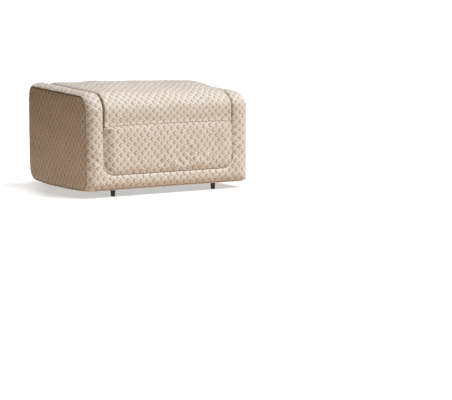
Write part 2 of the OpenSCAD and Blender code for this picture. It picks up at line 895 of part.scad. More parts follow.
// A hinge plate in Y and Z: a long foot on the rail, and a neck up to the eye near the
// fold. s is +1 where the section runs along +Y from the fold.
module hinge_plate(x, axis_y, axis_z, end_y, z, s, neck_l, bore) {
    difference() {
        along_x(x, plate_t) {
            ear(axis_y, axis_z, end_y, end_y + s * neck_l, z);
            translate([min(end_y, end_y + s * plate_foot_l), z]) square([plate_foot_l, rail_h]);
        }
        rod_x(x - over, x + plate_t + over, axis_y, axis_z, bore);
    }
}

// A rivet through two hinge plates. It ends flush inside, or has a head there too.
module hinge_pin(y, z, inner_head) {
    r = hinge_pin_r + head_rim;
    out = plate_out_x + side_play;
    if (inner_head) rod_x(inner_rail_x - head_t, inner_rail_x, y, z, r);
    rod_x(inner_rail_x, out + head_t, y, z, hinge_pin_r);
    rod_x(out, out + head_t, y, z, r);
}

// Head section: stays level on the swing links

module head_side_rails() {
    color(STEEL) side_rails(inner_rail_x, section_y0, section_y1, head_z);
}

module head_cross_tubes() {
    color(STEEL) cross_tubes(inner_rail_x,
        [section_y0 + cap_t, section_y1 - cap_t - rail_w], head_z);
}

module head_end_caps() {
    color(RUBBER) end_caps(inner_rail_x, section_y0, section_y1, head_z);
}

module head_slats() {
    color(BEECH) slats(inner_rail_x, head_z + rail_h);
}

module head_mattress() {
    color(TICKING) mattress(head_z + rail_h + slat_t);
}

// Lugs under the head rails that the links carry
module head_link_lugs() {
    color(STEEL) both_sides() for (y = [front_high_y, rear_high_y]) difference() {
        along_x(lug_x, plate_t) hull() {
            translate([y, high_pivot_z]) circle(lug_r, $fn = 32);
            translate([y - lug_half_l, head_z]) square([2 * lug_half_l, rail_h]);
        }
        rod_x(lug_x - over, lug_x + plate_t + over, y, high_pivot_z, link_pin_r);
    }
}

module head_link_pins() {
    color(ZINC) both_sides() for (y = [front_high_y, rear_high_y])
        link_pin(y, high_pivot_z, lug_x + plate_t);
}

module head_hinge_plates() {
    color(STEEL) both_sides()
        hinge_plate(inner_rail_x, fold_a_y, fold_a_z, section_y0, head_z, 1, plate_neck_l,
            hinge_pin_r);
}

module head_hinge_pins() {
    color(ZINC) both_sides() hinge_pin(fold_a_y, fold_a_z, true);
}

// Middle section: upside down on the head section when closed
middle_rail_z = middle_z + mattress_t + slat_t;

module middle_side_rails() {
    color(STEEL) side_rails(outer_rail_x, section_y0 + middle_in, section_y1 - middle_in,
        middle_rail_z);
}

module middle_cross_tubes() {
    color(STEEL) cross_tubes(outer_rail_x, [section_y0 + middle_in + cap_t,
        section_y1 - middle_in - rail_w], middle_rail_z);
}

module middle_end_caps() {
    color(RUBBER) end_caps(outer_rail_x, section_y0 + middle_in, section_y1 - middle_in,
        middle_rail_z);
}

module middle_slats() {
    color(BEECH) slats(outer_rail_x, middle_rail_z - slat_t);
}

module middle_mattress() {
    color(TICKING) mattress(middle_z);
}

module middle_hinge_plates() {
    bore = hinge_pin_r + run_fit;
    color(STEEL) both_sides() {
        hinge_plate(outer_rail_x, fold_a_y, fold_a_z, section_y0, middle_rail_z, 1,
            plate_neck_l, bore);
        hinge_plate(outer_rail_x, fold_b_y, fold_b_z, section_y1, middle_rail_z, -1,
            hinge_eye_r, bore);
    }
}

// A pin that a leg hoop turns on. x is the hoop's centre line, end_x the rail's inner face.
module leg_pin(x, end_x, y, z) {
    inner = x - leg_r - side_play;
    rod_x(inner - head_t, inner, y, z, leg_pin_r + head_rim);
    rod_x(inner - head_t, end_x, y, z, leg_pin_r);
}

module middle_leg_pins() {
    color(ZINC) both_sides()
        leg_pin(middle_leg_x, outer_rail_x - rail_w, middle_leg_y, middle_leg_z);
}

// Foot section: right way up on top of the stack when closed

module foot_side_rails() {
    color(STEEL) side_rails(inner_rail_x, section_y0, section_y1, foot_z);
}

module foot_cross_tubes() {
    color(STEEL) cross_tubes(inner_rail_x,
        [section_y0 + cap_t, section_y1 - cap_t - rail_w], foot_z);
}

module foot_end_caps() {
    color(RUBBER) end_caps(inner_rail_x, section_y0, section_y1, foot_z);
}

module foot_slats() {
    color(BEECH) slats(inner_rail_x, foot_z + rail_h);
}

module foot_mattress() {
    color(TICKING) mattress(foot_z + rail_h + slat_t);
}

module foot_hinge_plates() {
    color(STEEL) both_sides()
        hinge_plate(inner_rail_x, fold_b_y, fold_b_z, section_y1, foot_z, -1, hinge_eye_r,
            hinge_pin_r);
}

module foot_hinge_pins() {
    color(ZINC) both_sides() hinge_pin(fold_b_y, fold_b_z, false);
}

module foot_leg_pins() {
    color(ZINC) both_sides()
        leg_pin(foot_leg_x, inner_rail_x - rail_w, foot_leg_y, foot_leg_z);
}

// Leg hoops

// The run of a hoop at a radius r: two legs, two bends and the bar across their ends
module hoop_run(x, y, z, s, r) {
    straight = leg_l - leg_bend_r;
    both_sides() {
        translate([x, y, z]) rotate([-90 * s, 0, 0]) cylinder(h = straight, r = r);
        translate([x - leg_bend_r, y + s * straight, z]) rotate([0, 0, s > 0 ? 0 : -90])
            rotate_extrude(angle = 90) translate([leg_bend_r, 0]) circle(r);
    }
    rod_x(-x + leg_bend_r, x - leg_bend_r, y + s * leg_l, z, r);
}

// A U-shaped hoop folded flat: eyes at y, and its legs along s in Y
module leg_hoop(x, y, z, s) {
    difference() {
        union() {
            both_sides() rod_x(x - leg_r, x + leg_r, y, z, leg_eye_r);
            hoop_run(x, y, z, s, leg_r);
        }
        hoop_run(x, y, z, s, leg_r - tube_wall);
        both_sides() rod_x(x - leg_r - over, x + leg_r + over, y, z, leg_pin_r + run_fit);
    }
}

module leg_glides(y, z, s) {
    both_sides() pipe_x(glide_spread - glide_l / 2, glide_spread + glide_l / 2, y + s * leg_l, z,
        glide_r, glide_r - leg_r);
}

module middle_leg_hoop() {
    color(STEEL) leg_hoop(middle_leg_x, middle_leg_y, middle_leg_z, -1);
}

module middle_leg_glides() {
    color(RUBBER) leg_glides(middle_leg_y, middle_leg_z, -1);
}

module foot_leg_hoop() {
    color(STEEL) leg_hoop(foot_leg_x, foot_leg_y, foot_leg_z, 1);
}

module foot_leg_glides() {
    color(RUBBER) leg_glides(foot_leg_y, foot_leg_z, 1);
}

// Seat cushion

// Points along the top, and up the inside of the flap
top_n = 8;
flap_n = 3;
// Rounding of the corner between the flap and the underside
fillet_r = 12;
// Angle at which the flap's lower edge starts to round
flap_low_deg = 250;
flap_in_y = section_y0 - 2 * soft_gap;
under_z = stack_top + soft_gap;

// Side profile of the cushion, drawn in by e and crowned by c: the outer line from the
// front flap over the top to the back edge, then the inner line back again
function cushion_profile(e, c) =
    let (
        front = -half_d - cushion_proud, low_r = cushion_edge_r,
        y0 = -half_d + arm_front_r, y1 = half_d - arm_back_r, z1 = arm_h - arm_back_r,
        top = arm_h + cushion_proud - e, back_r = arm_back_r + cushion_proud - e,
        back_z = under_z + e + low_r / 2, back_deg = asin((back_z - z1) / back_r),
        back_y = y1 + back_r * cos(back_deg) - low_r / 2,
        in_y = flap_in_y - e / 2, in_z = under_z + e,
        outer = concat(
            arc(front + low_r, seam_z + low_r, max(low_r - e, over), flap_low_deg, 180, flap_n),
            arc(y0, arm_h - arm_front_r, arm_front_r + cushion_proud - e, 180, 90),
            [for (i = [1 : top_n]) let (t = i / (top_n + 1))
                [y0 + (y1 - y0) * t, top + c * sin(180 * t)]],
            arc(y1, z1, back_r, 90, back_deg)),
        inner = concat(
            [for (i = [0 : flap_n]) [in_y, seam_z + e + low_r * i / flap_n]],
            arc(in_y + fillet_r, in_z - fillet_r, fillet_r, 180, 90),
            [for (i = [1 : top_n + arc_n + 1]) let (t = i / (top_n + arc_n + 1))
                [in_y + fillet_r + (back_y - in_y - fillet_r) * t, in_z]]))
    concat(reversed(outer), inner);

module seat_cushion() {
    x = inner_x - cushion_gap;
    ends = edge_steps(cushion_edge_r);
    left = [for (s = ends) [-x + s[0], s[1]]];
    mid_shares = [0.72, 0.4, 0];
    near = concat(left, [for (t = mid_shares) [-x * t, 0]]);
    levels = concat(near, [for (i = [len(near) - 2 : -1 : 0]) [-near[i][0], near[i][1]]]);
    color(COVER) loft([for (l = levels)
        let (c = cushion_crown * sqrt(max(0, 1 - pow(l[0] / x, 2))))
        [for (p = cushion_profile(l[1], c)) [l[0], p[0], p[1]]]], strips = true);
}

feet();
base_side_rails();
base_cross_rails();
base_end_caps();
base_buffers();
base_link_brackets();
base_link_pins();
left_arm_board();
right_arm_board();
left_arm_pad();
right_arm_pad();
arm_bolts();
front_apron_board();
front_apron_pad();
front_hinge_lower();
front_hinge_pin();
back_board();
back_pad();
back_brackets();
front_link_bars();
front_link_tube();
rear_link_bars();
rear_link_tube();
head_side_rails();
head_cross_tubes();
head_end_caps();
head_slats();
head_mattress();
head_link_lugs();
head_link_pins();
head_hinge_plates();
head_hinge_pins();
middle_side_rails();
middle_cross_tubes();
middle_end_caps();
middle_slats();
middle_mattress();
middle_hinge_plates();
middle_leg_pins();
foot_side_rails();
foot_cross_tubes();
foot_end_caps();
foot_slats();
foot_mattress();
foot_hinge_plates();
foot_hinge_pins();
foot_leg_pins();
middle_leg_hoop();
middle_leg_glides();
foot_leg_hoop();
foot_leg_glides();
front_panel_board();
front_panel_pad();
front_hinge_upper();
seat_cushion();
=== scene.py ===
"""Looks of an ottoman sleeper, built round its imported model.

The ottoman is drawn closed. Padded covers stand for the soft solids of the model, and the
frame, slats, links and hinges keep their own meshes and get their finishes here. Everything
is in metres: X runs across the width, the front looks along -Y and Z = 0 is the floor.
"""
import json
import logging
import math
from dataclasses import dataclass
from enum import Enum
from functools import reduce
from typing import Callable, Sequence

import bpy
import numpy as np
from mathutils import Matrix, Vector


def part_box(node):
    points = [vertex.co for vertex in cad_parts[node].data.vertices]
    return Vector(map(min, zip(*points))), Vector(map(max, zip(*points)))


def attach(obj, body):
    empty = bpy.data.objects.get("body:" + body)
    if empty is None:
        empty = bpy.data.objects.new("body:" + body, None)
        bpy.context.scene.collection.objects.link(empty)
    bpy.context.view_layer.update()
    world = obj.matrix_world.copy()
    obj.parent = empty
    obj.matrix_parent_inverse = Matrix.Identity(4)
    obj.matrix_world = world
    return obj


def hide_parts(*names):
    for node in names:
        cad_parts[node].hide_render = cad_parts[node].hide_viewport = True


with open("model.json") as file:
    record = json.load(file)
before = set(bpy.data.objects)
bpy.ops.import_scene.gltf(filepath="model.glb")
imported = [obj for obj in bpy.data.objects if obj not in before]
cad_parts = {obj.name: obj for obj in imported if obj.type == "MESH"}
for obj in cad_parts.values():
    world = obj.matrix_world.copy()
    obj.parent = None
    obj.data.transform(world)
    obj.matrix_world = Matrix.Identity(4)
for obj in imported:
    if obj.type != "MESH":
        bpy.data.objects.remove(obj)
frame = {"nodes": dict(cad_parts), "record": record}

Array = np.ndarray
Crown = Callable[[Array], Array]
Place = Callable[[Array], Array]
Socket = bpy.types.NodeSocket
Span = tuple[float, float]
Tone = tuple[float, float, float]
Triple = tuple[float, float, float]
LOG = logging.getLogger("ottoman")
CLOTH_MAP = "cloth"
ARC_CELLS = 16


class Side(Enum):
    """The two sides of the ottoman, as signs of X."""

    LEFT = -1
    RIGHT = 1


class Wrap(Enum):
    """How the cloth runs over a pad's rim: on from its face, or as a band of its own."""

    FROM_FACE = "from face"
    BAND = "band"


# Curves and relief


def arc(centre: Span, radius: float, start: float, end: float, cells: int = ARC_CELLS) -> Array:
    """Points of an arc: the centre plus the radius times cosine and sine of an even turn.

    Args:
        centre: the arc's centre.
        radius: the arc's radius.
        start: the first angle in degrees.
        end: the last angle in degrees.
        cells: the number of steps.

    Returns:
        The points, (cells + 1, 2).
    """
    turn = np.radians(np.linspace(start, end, cells + 1))
    return np.stack([centre[0] + radius * np.cos(turn), centre[1] + radius * np.sin(turn)], -1)


def arc_lengths(line: Array) -> Array:
    """The running length at each point of a polyline, from 0."""
    steps = np.linalg.norm(np.diff(line, axis=0), axis=1)
    return np.concatenate([[0.0], np.cumsum(steps)])


def resample(line: Array, cells: int) -> Array:
    """A polyline's points at even steps of its length.

    Args:
        line: the polyline, (n, k).
        cells: the number of steps.

    Returns:
        The new points, (cells + 1, k).
    """
    at = arc_lengths(line)
    want = np.linspace(0.0, at[-1], cells + 1)
    return np.stack([np.interp(want, at, line[:, k]) for k in range(line.shape[1])], -1)


def smooth_step(x: Array, low: float, high: float) -> Array:
    """3t^2 - 2t^3 of x's share t of the way from low to high, held to 0..1."""
    t = np.clip((x - low) / (high - low), 0.0, 1.0)
    return t * t * (3.0 - 2.0 * t)


def fade_out(x: Array, low: float, high: float) -> Array:
    """One less the smooth step: 1 up to low, and 0 from high on."""
    return 1 - smooth_step(x, low, high)


def dome(shape: Sequence[int], power: float) -> Array:
    """(1 - |u|^power)(1 - |v|^power) on a grid, u and v from -1 to 1 along its two ways."""
    u, v = np.linspace(-1.0, 1.0, shape[0])[:, None], np.linspace(-1.0, 1.0, shape[1])[None]
    return (1 - np.abs(u) ** power) * (1 - np.abs(v) ** power)


def pillow(height: float, power: float = 4.0) -> Crown:
    """A crown: a height times the dome of a power over the grid."""
    return lambda grid: height * dome(grid.shape, power)


def quarter(radius: float, steps: int = 4) -> Array:
    """A quarter-round in (depth, inset) rows: the radius times (1 - cos t, 1 - sin t)."""
    turn = np.radians(np.linspace(0.0, 90.0, steps + 1))
    return np.stack([radius * (1 - np.cos(turn)), radius * (1 - np.sin(turn))], -1)


def cell_corners(grid: Array) -> Array:
    """The corners of each cell of a grid, in turn round it.

    Args:
        grid: point numbers or points, (m, n) or (m, n, k).

    Returns:
        The corners, (cells, 4) or (cells, 4, k).
    """
    corners = np.stack([grid[:-1, :-1], grid[1:, :-1], grid[1:, 1:], grid[:-1, 1:]], 2)
    return corners.reshape(-1, 4, *grid.shape[2:])


def closed_round(grid: Array) -> Array:
    """A grid with its first column again after the last."""
    return np.concatenate([grid, grid[:, :1]], 1)


@dataclass(frozen=True)
class Ripple:
    """Soft random relief: a sum of sine waves of one mean length and random headings."""

    seed: int
    wavelength: float
    waves: int = 18
    spread: Span = (0.7, 1.5)

    def at(self, places: Array) -> Array:
        """The relief at some places in a plane.

        Args:
            places: points, (..., 2).

        Returns:
            Heights of about -1 to 1, in the shape of the points.
        """
        chance = np.random.default_rng(self.seed)
        heading = chance.uniform(0.0, 2.0 * np.pi, self.waves)
        pace = 2.0 * np.pi / (self.wavelength * chance.uniform(*self.spread, self.waves))
        phase = chance.uniform(0.0, 2.0 * np.pi, self.waves)
        waves = np.stack([pace * np.cos(heading), pace * np.sin(heading)])
        return np.sin(places @ waves + phase).sum(-1) / math.sqrt(self.waves)


# Padded forms


@dataclass(frozen=True)
class RoundedFrame:
    """A rectangle with a radius of its own at each corner, and the cells along its sides.

    The corners are numbered anticlockwise from the low one.
    """

    low: Span
    high: Span
    radii: Sequence[float]
    cells: tuple[int, int]

    def ring(self) -> Array:
        """The outline, anticlockwise from the middle of the low corner's arc.

        Returns:
            The points, (cells all round, 2).
        """
        (x0, y0), (x1, y1) = self.low, self.high
        r = self.radii
        centres = [(x0 + r[0], y0 + r[0]), (x1 - r[1], y0 + r[1]),
                   (x1 - r[2], y1 - r[2]), (x0 + r[3], y1 - r[3])]
        sides = []
        for k in range(4):
            after = (k + 1) % 4
            turn = 225.0 + 90.0 * k
            line = np.concatenate([arc(centres[k], r[k], turn, turn + 45.0),
                                   arc(centres[after], r[after], turn + 45.0, turn + 90.0)])
            sides.append(resample(line, self.cells[k % 2])[:-1])
        return np.concatenate(sides)


def outward(ring: Array) -> Array:
    """Unit normals of an anticlockwise ring: its central differences turned by -90 degrees.

    Args:
        ring: its points, (n, 2).

    Returns:
        The normals, (n, 2).
    """
    along = np.roll(ring, -1, 0) - np.roll(ring, 1, 0)
    along /= np.linalg.norm(along, axis=1, keepdims=True)
    return np.stack([along[:, 1], -along[:, 0]], -1)


def fill(ring: Array, cells: tuple[int, int]) -> Array:
    """Fills a ring with a grid: its two rulings between opposite sides, less the corners'.

    Args:
        ring: the border, anticlockwise from its low corner.
        cells: cells across and up.

    Returns:
        The grid, (across + 1, up + 1, k), whose border is the ring.
    """
    nu, nv = cells
    bottom = ring[:nu + 1][:, None]
    right = ring[nu:nu + nv + 1][None]
    top = ring[nu + nv:2 * nu + nv + 1][::-1][:, None]
    left = np.concatenate([ring[2 * nu + nv:], ring[:1]])[::-1][None]
    u = np.linspace(0.0, 1.0, nu + 1)[:, None, None]
    v = np.linspace(0.0, 1.0, nv + 1)[None, :, None]
    ruled = (1 - v) * bottom + v * top + (1 - u) * left + u * right
    corners = ((1 - u) * (1 - v) * bottom[0] + u * (1 - v) * bottom[-1]
               + (1 - u) * v * top[0] + u * v * top[-1])
    return ruled - corners


def mesh_object(name: str, points: Array, faces: Array, cloth: Array) -> bpy.types.Object:
    """Makes a smooth mesh object, its faces turned round if its volume comes out negative.

    Args:
        name: the piece's name.
        points: its vertices, (n, 3).
        faces: its quads, (m, 4).
        cloth: places on the cloth of each quad's corners, (m, 4, 2).

    Returns:
        The object.
    """
    a, b, c, d = (points[faces[:, k]] for k in range(4))
    if (a * np.cross(b, c)).sum() + (a * np.cross(c, d)).sum() < 0:
        faces, cloth = faces[:, ::-1], cloth[:, ::-1]
    mesh = bpy.data.meshes.new(name)
    mesh.from_pydata(points.tolist(), [], faces.tolist())
    layer = mesh.uv_layers.new(name=CLOTH_MAP)
    layer.data.foreach_set("uv", cloth.reshape(-1).astype(np.float32))
    mesh.polygons.foreach_set("use_smooth", np.ones(len(faces), bool))
    mesh.update()
    return add_object(name, mesh)


def add_object(name: str, data: bpy.types.ID) -> bpy.types.Object:
    """Links a new object of some data to the scene.

    Args:
        name: its name.
        data: a mesh, light or camera.

    Returns:
        The object.
    """
    made = bpy.data.objects.new(name, data)
    bpy.context.scene.collection.objects.link(made)
    return made


@dataclass
class Shell:
    """A closed mesh in a pad's flat space: a and b across its face, and its depth d.

    rings, face and back hold the points' numbers on the rim and on the two grids.
    """

    points: Array
    quads: Array
    cloth: Array
    rings: Array
    face: Array
    back: Array

    def to_object(self, name: str, place: Place) -> bpy.types.Object:
        """Makes the piece, by a map from the flat space to the ottoman's."""
        return mesh_object(name, place(self.points), self.quads, self.cloth)

    def wave(self, grid: Array, height: object, relief: Ripple, power: float = math.inf) -> None:
        """Moves a grid's inner points in depth by a height times a relief times a dome.

        Args:
            grid: the face's or the back's point numbers.
            height: the move for a relief of 1, one number or one for each inner point.
            relief: the random waves.
            power: the dome's power; an infinite one doesn't fade towards the border.
        """
        inner = grid[1:-1, 1:-1]
        share = dome(grid.shape, power)[1:-1, 1:-1]
        self.points[inner, 2] += share * height * relief.at(self.points[inner][..., :2])


@dataclass
class PadForm:
    """A padded form: a crowned face, a rim of rings round it, and a back.

    rim lists the rings from the face's border to the back's as (depth, inset), where each is
    one number or one for each point of the ring. crown and back_crown give how far the
    middle stands out, as functions of the grid's points.
    """

    outline: RoundedFrame
    rim: list[tuple]
    crown: Crown
    back_crown: Crown = pillow(0.0)
    wrap: Wrap = Wrap.FROM_FACE
    tight: float = 0.0

    def tighten(self, grid: Array) -> None:
        """Draws the rows next to the grid's border towards it, so the fold there stays crisp.

        Args:
            grid: the face's points.
        """
        turned = grid.transpose(1, 0, 2)
        for view in (grid, grid[::-1], turned, turned[::-1]):
            view[1] += self.tight * (view[0] - view[1])

    def ring_points(self) -> Array:
        """The rings: the outline moved inwards along its normals.

        Returns:
            Their points, (rings, points, 3).
        """
        ring = self.outline.ring()
        normals = outward(ring)
        rings = []
        for row in self.rim:
            deep, gap = (np.broadcast_to(np.asarray(k, float), len(ring))[:, None] for k in row)
            rings.append(np.concatenate([ring - normals * gap, deep], 1))
        return np.stack(rings)

    def build(self) -> Shell:
        """Works out the shell: two grids joined by the strips between the rings.

        Returns:
            The shell, with cloth places for each quad.
        """
        nu, nv = self.outline.cells
        rings = self.ring_points()
        m, n = rings.shape[:2]
        face, back = (fill(ring, (nu, nv)) for ring in (rings[0], rings[-1]))
        self.tighten(face)
        face[..., 2] -= self.crown(face)
        back[..., 2] += self.back_crown(back)
        index = np.arange((nu + 1) * (nv + 1)).reshape(nu + 1, nv + 1)
        border = np.concatenate([index[:-1, 0], index[-1, :-1],
                                 index[:0:-1, -1], index[0, :0:-1]])
        size = index.size
        inner = 2 * size + np.arange((m - 2) * n).reshape(m - 2, n)
        ids = np.concatenate([border[None], inner, border[None] + size])
        points = np.concatenate([part.reshape(-1, 3) for part in (face, back, rings[1:-1])])
        near = cell_corners(index)
        far = near[:, ::-1] + size
        quads = np.concatenate([near, far, cell_corners(closed_round(ids))])
        cloth = np.concatenate([points[near][..., :2], points[far][..., :2],
                                self.rim_cloth(rings)])
        return Shell(points, quads, cloth, ids, index, index + size)

    def rim_cloth(self, rings: Array) -> Array:
        """Cloth places of the rim's quads.

        A band runs along the outline at its own length, with the running length over the rim
        across it. Otherwise the rim is laid flat outwards from the face.

        Args:
            rings: the rings' points.

        Returns:
            The places, (quads, 4, 2).
        """
        ring = self.outline.ring()
        over = np.linalg.norm(np.diff(rings, axis=0), axis=2)
        across = np.concatenate([np.zeros((1, len(ring))), np.cumsum(over, 0)])
        if self.wrap is Wrap.BAND:
            along = arc_lengths(np.concatenate([ring, ring[:1]]))
            flat = np.stack(np.broadcast_arrays(across.mean(1)[:, None], along[None]), -1)
        else:
            flat = closed_round(rings[:1, :, :2] + outward(ring)[None] * across[..., None])
        return cell_corners(flat)


# Finishes


def shade(tone: Tone, share: float) -> Tone:
    """A tone times a share."""
    return tuple(share * c for c in tone)


class Graph:
    """A material's nodes, with short calls for the ones that the finishes use."""

    def __init__(self, name: str) -> None:
        """Starts a material with one Principled shader.

        Args:
            name: the material's name.
        """
        self.material = bpy.data.materials.new(name)
        self.material.use_nodes = True
        self.tree = self.material.node_tree
        self.shader = self.tree.nodes["Principled BSDF"]

    def feed(self, socket: Socket, value: object) -> None:
        """Links a socket to another one, or sets its number or colour.

        Args:
            socket: the input.
            value: another socket, a number, or three numbers.
        """
        if isinstance(value, Socket):
            self.tree.links.new(value, socket)
        elif isinstance(value, tuple) and socket.type == "RGBA":
            socket.default_value = (*value, 1.0)
        else:
            socket.default_value = value

    def make(self, kind: str, inputs: dict, output: object = 0, **settings: object) -> Socket:
        """Adds a node.

        Args:
            kind: its type.
            inputs: values for its inputs, by name or number.
            output: the output's name or number.
            settings: its own properties.

        Returns:
            The output.
        """
        made = self.tree.nodes.new(kind)
        for key, value in settings.items():
            setattr(made, key, value)
        for key, value in inputs.items():
            self.feed(made.inputs[key], value)
        return made.outputs[output]

    def math(self, operation: str, *values: object) -> Socket:
        """A Math node's result on one or two values."""
        return self.make("ShaderNodeMath", dict(enumerate(values)), operation=operation)

    def plus(self, *values: object) -> Socket:
        """The sum of some values."""
        return reduce(lambda a, b: self.math("ADD", a, b), values)

    def times(self, *values: object) -> Socket:
        """The product of some values."""
        return reduce(lambda a, b: self.math("MULTIPLY", a, b), values)

    def less(self, value: object, taken: object) -> Socket:
        """A value less another."""
        return self.math("SUBTRACT", value, taken)

    def over(self, value: object, by: object) -> Socket:
        """A value divided by another."""
        return self.math("DIVIDE", value, by)

    def from_middle(self, value: object) -> Socket:
        """How far a value lies from one half."""
        return self.math("ABSOLUTE", self.less(value, 0.5))

    def blend(self, share: object, low: object, high: object) -> Socket:
        """A colour between two, by a share."""
        return self.make("ShaderNodeMix", {"Factor": share, 6: low, 7: high}, 2,
                         data_type="RGBA")

    def steps(self, value: object, low: float, high: float, to: Span = (0.0, 1.0)) -> Socket:
        """A smooth step of a value from low to high, mapped to a range."""
        return self.make("ShaderNodeMapRange", dict(enumerate((value, low, high, *to))),
                         interpolation_type="SMOOTHSTEP")

    def noise(self, place: Socket, scale: float, detail: float = 2.0,
              rough: float = 0.5) -> Socket:
        """A noise texture's height at a place."""
        return self.make("ShaderNodeTexNoise", {"Vector": place, "Scale": scale,
                                                "Detail": detail, "Roughness": rough}, "Fac")

    def mottled(self, cloud: Socket, span: Span, most: float, tone: object,
                other: object) -> Socket:
        """A tone that goes towards another, by most at most, as a cloud rises over a span."""
        return self.blend(self.steps(cloud, *span, (0.0, most)), tone, other)

    def stretched(self, place: Socket, scale: Triple) -> Socket:
        """A place scaled along each axis."""
        return self.make("ShaderNodeMapping", {"Vector": place, "Scale": scale}, "Vector")

    def object_place(self) -> Socket:
        """The place in the object's own space."""
        return self.make("ShaderNodeTexCoord", {}, "Object")

    def cloth_place(self) -> Socket:
        """The place on the cloth, in metres."""
        return self.make("ShaderNodeUVMap", {}, "UV", uv_map=CLOTH_MAP)

    def split(self, place: Socket) -> list[Socket]:
        """A place's three numbers."""
        return list(self.make("ShaderNodeSeparateXYZ", {0: place}).node.outputs)

    def surface(self, **values: object) -> None:
        """Sets the shader's sockets, whose names have their spaces written as underscores."""
        for key, value in values.items():
            self.feed(self.shader.inputs[key.replace("_", " ")], value)

    def bump(self, height: Socket, distance: float, strength: float) -> None:
        """Gives the shader a bump of a height map, in metres."""
        self.surface(Normal=self.make("ShaderNodeBump", {
            "Height": height, "Distance": distance, "Strength": strength}, "Normal"))


@dataclass(frozen=True)
class HookJacquard:
    """The cover: rows of tan hooks on a grey-beige ground, each with a cream one beside it.

    A hook is a "<" whose two arms run back from its tip, and every second row is shifted by
    half a hook's pitch. Widths across are shares of the pitch.
    """

    pitch: float = 0.0405
    row: float = 0.0238
    ground: Tone = (0.605, 0.457, 0.330)
    hook: Tone = (0.352, 0.230, 0.136)
    cream: Tone = (0.705, 0.575, 0.452)
    drift: float = 0.040
    drift_scales: Span = (6.0, 9.0)
    wobble: float = 0.22
    wobble_scale: float = 85.0
    slope: float = 0.62
    hook_edge: Span = (0.195, 0.105)
    hook_end: Span = (0.5, 0.40)
    end_left: float = 0.25
    worn: Span = (0.25, 0.75)
    worn_left: float = 0.65
    worn_scale: float = 38.0
    cream_at: float = 0.27
    cream_edge: Span = (0.145, 0.035)
    cream_cover: float = 0.85
    patch_scale: float = 9.0
    yarn: float = 0.0011
    warp_wider: float = 1.6
    thread: Triple = (1.0, 2.6, 1.0)
    thread_scale: float = 620.0
    thread_dark: float = 0.30
    relief: Sequence[float] = (0.55, 0.8, 0.22, 0.5)

    def material(self) -> bpy.types.Material:
        """Builds the finish from the cloth map alone.

        Returns:
            The material.
        """
        g = Graph("hook jacquard")
        place = g.cloth_place()
        across, up = (g.plus(way, g.times(g.less(g.noise(place, scale), 0.5), self.drift))
                      for way, scale in zip(g.split(place), self.drift_scales))
        rows = g.over(up, self.row)
        index = g.math("FLOOR", rows)
        y = g.from_middle(g.less(rows, index))
        wobble = g.times(g.less(g.noise(place, self.wobble_scale), 0.5), self.wobble)
        x = g.plus(g.over(across, self.pitch), g.math("FRACT", g.times(index, 0.5)), wobble)
        tip = g.less(x, g.times(y, self.slope))
        cell = g.less(g.math("FRACT", g.plus(tip, 0.5)), 0.5)
        hook = g.times(g.steps(g.math("ABSOLUTE", cell), *self.hook_edge),
                       g.steps(y, *self.hook_end, (self.end_left, 1.0)),
                       g.steps(g.noise(place, self.worn_scale), *self.worn, (self.worn_left, 1.0)))
        cream = g.steps(g.math("ABSOLUTE", g.plus(cell, self.cream_at)), *self.cream_edge)
        thread = g.noise(g.stretched(place, self.thread), self.thread_scale, 2.0, 0.6)
        base = g.mottled(g.noise(place, self.patch_scale, 3.0), (0.3, 0.7), 0.35, self.ground,
                         shade(self.ground, 0.93))
        base = g.blend(g.times(cream, self.cream_cover), base, self.cream)
        base = g.blend(hook, base, self.hook)
        base = g.blend(g.steps(thread, 0.35, 0.75, (self.thread_dark, 0.0)), base,
                       shade(self.hook, 0.55))
        weft = g.math("SINE", g.times(up, 2.0 * math.pi / self.yarn))
        warp = g.math("SINE", g.times(across, 2.0 * math.pi / (self.warp_wider * self.yarn)))
        parts = (hook, cream, g.times(weft, warp), thread)
        height = g.plus(*(g.times(part, share) for part, share in zip(parts, self.relief)))
        g.surface(Base_Color=base, Roughness=0.88, Sheen_Weight=0.18, Sheen_Roughness=0.45,
                  Sheen_Tint=(0.95, 0.90, 0.84), Specular_IOR_Level=0.25)
        g.bump(height, 0.0008, 0.38)
        return g.material


@dataclass(frozen=True)
class Ticking:
    """Mattress cloth: a cream knit with fine woven stripes."""

    base: Tone = (0.57, 0.535, 0.48)
    stripe: Tone = (0.45, 0.40, 0.34)
    pitch: float = 0.014
    stripe_edge: Span = (0.10, 0.04)
    stripe_cover: float = 0.6
    patch_scale: float = 7.0
    knit: Span = (4200.0, 3000.0)

    def material(self) -> bpy.types.Material:
        """Builds the finish: stripes across, a knitted bump and faint patches.

        Returns:
            The material.
        """
        g = Graph("mattress ticking")
        place = g.cloth_place()
        across, up, _ = g.split(place)
        line = g.steps(g.from_middle(g.math("FRACT", g.over(across, self.pitch))),
                       *self.stripe_edge)
        base = g.mottled(g.noise(place, self.patch_scale, 3.0), (0.3, 0.7), 0.3, self.base,
                         shade(self.base, 0.92))
        base = g.blend(g.times(line, self.stripe_cover), base, self.stripe)
        knit = g.times(*(g.math("SINE", g.times(way, pace))
                         for way, pace in zip((across, up), self.knit)))
        g.surface(Base_Color=base, Roughness=0.85, Sheen_Weight=0.2, Sheen_Roughness=0.4,
                  Specular_IOR_Level=0.25)
        g.bump(g.plus(g.times(knit, 0.3), g.times(line, -0.6)), 0.0004, 0.6)
        return g.material


